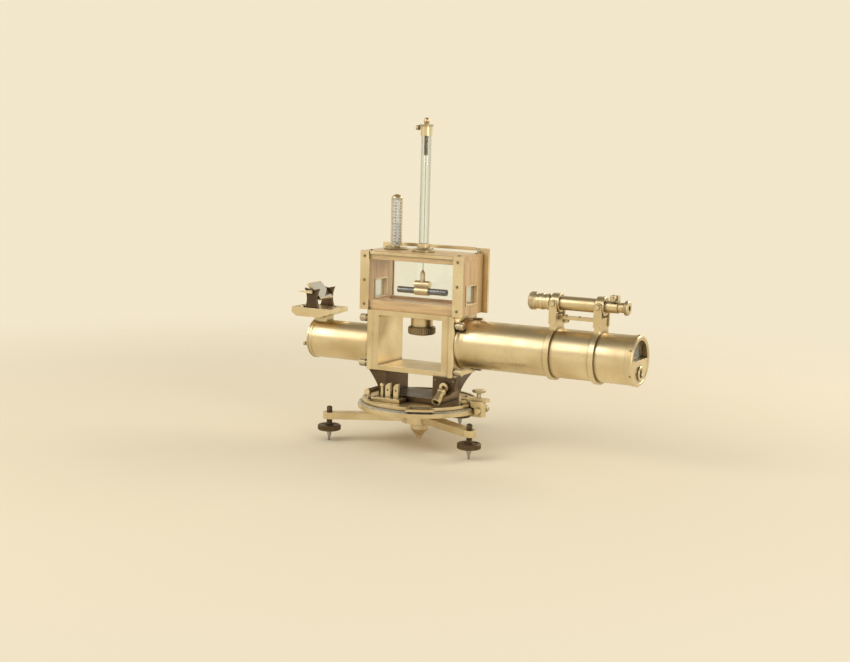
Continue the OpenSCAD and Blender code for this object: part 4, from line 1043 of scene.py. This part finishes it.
def screw_heads(places, seed):
    """Slotted heads at (x, y, z, facing, radius), in millimetres."""
    draw = random.Random(seed)
    points = bpy.data.meshes.new("screw_points")
    points.from_pydata([place[:3] for place in places], [], [])
    for name, kind, key, values in (
            ("facing", "FLOAT_VECTOR", "vector", [c for place in places for c in place[3]]),
            ("size", "FLOAT", "value", [place[4] for place in places]),
            ("turn", "FLOAT", "value", [draw.uniform(0, math.pi) for _ in places])):
        points.attributes.new(name, kind, "POINT").data.foreach_set(key, values)
    return grown(HEADS, {"Head": HEAD, "Finish": FINISH["bronze_worn"]}, Matrix.Scale(MM, 4),
                 points)


def ring_of_screws(x, y, z, radius, angles):
    """Upright screws round a flange."""
    return [(x + radius * math.cos(math.radians(a)), y + radius * math.sin(math.radians(a)), z,
             UP, FLANGE_HEAD) for a in angles]


# Radii of the heads on each kind of piece.
GUIDE_HEAD, FLANGE_HEAD, PLATE_HEAD, RIM_HEAD, CAP_HEAD, BAR_HEAD = 2.1, 1.7, 2.2, 1.5, 1.9, 2.0
# Where the screws stand: rises above, drops below, insets from the edges of their piece.
GUIDE_PAST, GUIDE_INNER, GUIDE_INSET, GUIDE_MIDDLE = 4.5, 76.5, 9, 48
FLANGE_RISE, FLANGE_RING, CASE_RISE, CASE_RING = 4.7, 14.7, 3.2, 15.2
BRACKET_DROP, BRACKET_INSET, RIM_INSET, CAP_SPREAD, CAP_DROP = 24, 5, 4, 15, 18
LINK_DROP, LINK_NEAR, LINK_FAR, TABLE_X, TABLE_Y, LID_X, LID_Y = 2.5, 34, 8, 22, 14, 80, 30
guide_low, guide_high = corners("pane_guides")
box_high = corners("box_top")[1]
GUIDE_X = (box_high.x + GUIDE_PAST + GUIDE_INNER) / 2
GUIDE_ZS = (guide_low.z + GUIDE_INSET, guide_low.z + GUIDE_MIDDLE, box_high.z - GUIDE_INSET)
flange_low = corners("suspension_flange")[0]
bracket_low, bracket_high = corners("lug_bracket")
BRACKET_FACE = bracket_high.z - BRACKET_DROP
cap_low, cap_high = corners("right_end_cap")
CAP_R, CAP_MIDDLE = cap_high.y, centre("right_end_cap")[2]
magnifier_plate_low, magnifier_plate_high = corners("magnifier_bracket")
link_low, link_high = corners("link_bar")
PLATFORM_X = centre("mirror_platform")[0]
TABLE_Z = corners("mirror_standards")[0].z
bar_low, bar_high = corners("clamp_bar")

screw_places = [(s * GUIDE_X, y, z, facing, GUIDE_HEAD)
                for y, facing in ((guide_low.y, FRONT), (guide_high.y, BACK))
                for s in (-1, 1) for z in GUIDE_ZS]
screw_places += ring_of_screws(0, 0, flange_low.z + FLANGE_RISE, FLANGE_RING, (20, 140, 260))
screw_places += ring_of_screws(CASE_X, CASE_Y, case_low.z + CASE_RISE, CASE_RING,
                               (80, 200, 320))
screw_places += [(x, bracket_low.y + RIM_INSET, BRACKET_FACE, UP, PLATE_HEAD)
                 for x in (bracket_low.x + BRACKET_INSET, bracket_high.x - BRACKET_INSET)]
screw_places += [(cap_low.x + RIM_INSET, CAP_R * math.cos(a), CAP_MIDDLE + CAP_R * math.sin(a),
                  (0, math.cos(a), math.sin(a)), RIM_HEAD)
                 for a in (math.radians(60 * k + 30) for k in range(6))]
screw_places += [(cap_high.x - 1, s * CAP_SPREAD, CAP_MIDDLE - CAP_DROP, RIGHT, CAP_HEAD)
                 for s in (-1, 1)]
screw_places += [(x, magnifier_plate_high.y - BRACKET_INSET,
                  magnifier_plate_high.z - BRACKET_INSET, FRONT, PLATE_HEAD)
                 for x in (magnifier_plate_low.x + BRACKET_INSET, magnifier_plate_high.x - 6)]
screw_places += [(x, 0, link_high.z - LINK_DROP, UP, BAR_HEAD)
                 for x in (link_low.x + LINK_NEAR, link_high.x - LINK_FAR)]
screw_places += [(PLATFORM_X + s * TABLE_X, t * TABLE_Y, TABLE_Z, UP, BAR_HEAD)
                 for s, t in ((1, -1), (1, 1), (-1, 1))]
screw_places += [(bar_low.x + 6, 0, bar_high.z, UP, PLATE_HEAD)]
screw_places += [(s * LID_X, t * LID_Y, box_high.z, UP, PLATE_HEAD)
                 for s in (-1, 1) for t in (-1, 1)]
piece("slotted_screws", [screw_heads(screw_places, 7)], "bronze_worn", "alidade",
      "bronzed_brass", smooth=30)

# %% [markdown]
# Small linings finish the instrument: dead black inside the long tube, which is also painted
# shade for the dark seen through its end window, brass frames round the side windows, a rail on
# the edge of each glass pane, a bronzed sleeve on the suspension pin, the silk on the thread, the
# lens in the vernier's magnifier, and a black stop in the eyepiece, painted shade for its dark
# hole.

# %% Linings, rails, thread and lens
tube_low, tube_high = corners("right_tube")
LINING_OUT, LINING_IN = 35.95, 35.65
LINING_FROM, LINING_TO = tube_low.x + 1, tube_high.x - 2.4
# A black lining inside the tube: blacking, and painted shade for the dark seen through the end
# window.
piece("tube_lining",
      [turned([(LINING_OUT, LINING_FROM), (LINING_OUT, LINING_TO), (LINING_IN, LINING_TO),
               (LINING_IN, LINING_FROM)],
              placed(0, 0, CAP_MIDDLE, RIGHT), steps=96)], "black", "alidade", smooth=30)

WINDOW_W, WINDOW_H = 36.0, 28.0
BEAD_W, BEAD_T, BEAD_EDGE = 2.6, 1.3, 0.4


def bead_frame(x, z, side):
    """A mitred brass frame round a side window, on the given face of the wall."""
    rings = [(0.0, 0.0), (0.0, BEAD_T - BEAD_EDGE), (BEAD_EDGE, BEAD_T),
             (BEAD_W - BEAD_EDGE, BEAD_T), (BEAD_W, BEAD_T - BEAD_EDGE), (BEAD_W, 0.0)]
    points = []
    for out, rise in rings:
        half_w, half_h = WINDOW_W / 2 + out, WINDOW_H / 2 + out
        points += [(x + side * rise, sy * half_w, z + sz * half_h)
                   for sy, sz in ((-1, -1), (1, -1), (1, 1), (-1, 1))]
    return mesh_from(points, walls((*range(0, 4 * len(rings), 4), 0), 4), placed())


MAGNET_Z = centre("magnet")[2]
wall_low, wall_high = corners("box_wall_right")
brasswork("side_window_frames",
          [bead_frame(s * x, MAGNET_Z, s * out) for s in (-1, 1)
           for x, out in ((wall_high.x, 1), (wall_low.x, -1))], "alidade")

rear_low, rear_high = corners("rear_pane")
front_low, front_high = corners("front_pane")
RAIL_HALF = 75.5
brasswork("rear_pane_rail",
          [block((-RAIL_HALF, rear_low.y - 0.9, rear_high.z - 4),
                 (RAIL_HALF, rear_high.y + 0.9, rear_high.z + 1.2), edge=0.4)], "rear_glass")
brasswork("front_pane_rail",
          [block((-RAIL_HALF, front_low.y - 1.4, front_high.z - 4.5),
                 (RAIL_HALF, front_low.y + 0.1, front_high.z), edge=0.3)], "front_glass")

thread_top = corners("stirrup")[1].z
SLEEVE_R, SLEEVE_BORE, SLEEVE_H = 3.2, 2.3, 36.8
piece("pin_sleeve",
      [turned([(SLEEVE_BORE, thread_top + 1.2), (SLEEVE_R, thread_top + 2.0),
               (SLEEVE_R, thread_top + SLEEVE_H), (SLEEVE_BORE, thread_top + SLEEVE_H)],
              placed(), steps=32)], "bronze", "torsion_top", "bronzed_brass", smooth=30)
SILK_R, SILK_FROM, SILK_TO = 0.5, MAGNET_Z + 36.2, thread_top - 0.1
piece("silk_thread",
      [turned([(0, SILK_FROM), (SILK_R, SILK_FROM), (SILK_R, SILK_TO), (0, SILK_TO)], placed(),
              steps=10)],
      "silk", "suspended_magnet")

LENS_R, LENS_T = 5.0, 0.7
MAGNIFIER_PIVOT, LENS_OUT = (68.0, -55.0, 99.0), 3.5
LOOK = Vector((0.0, -0.8, -0.6))
lens_outline = [(LENS_R * math.sin(a), LENS_T * (1 + math.cos(a)))
                for a in (math.radians(15 * i) for i in range(7))]
lens_outline += [(r, -z) for r, z in lens_outline[::-1]]
lens_outline[0] = (0, 2 * LENS_T)
lens_outline[-1] = (0, -2 * LENS_T)
lens_centre = Vector(MAGNIFIER_PIVOT) + LOOK * LENS_OUT
piece("magnifier_lens", [turned(lens_outline, placed(*lens_centre, LOOK), steps=32)], "lens",
      "magnifier", "clear_glass", smooth=50)

EYE_FACE = draw_high.x - 6.5
# A black stop in the eyepiece, painted shade for the dark of its hole.
eye_stop = [(0, 4.6), (1.8, 4.6), (1.8, 5.2), (3.9, 6.6), (4.15, 6.5), (2.05, 4.9), (2.05, 4.2),
            (0, 4.2)]
piece("eye_stop", [turned(eye_stop, placed(EYE_FACE, 0, SCOPE_Z, RIGHT), steps=32)], "black",
      "eyepiece")
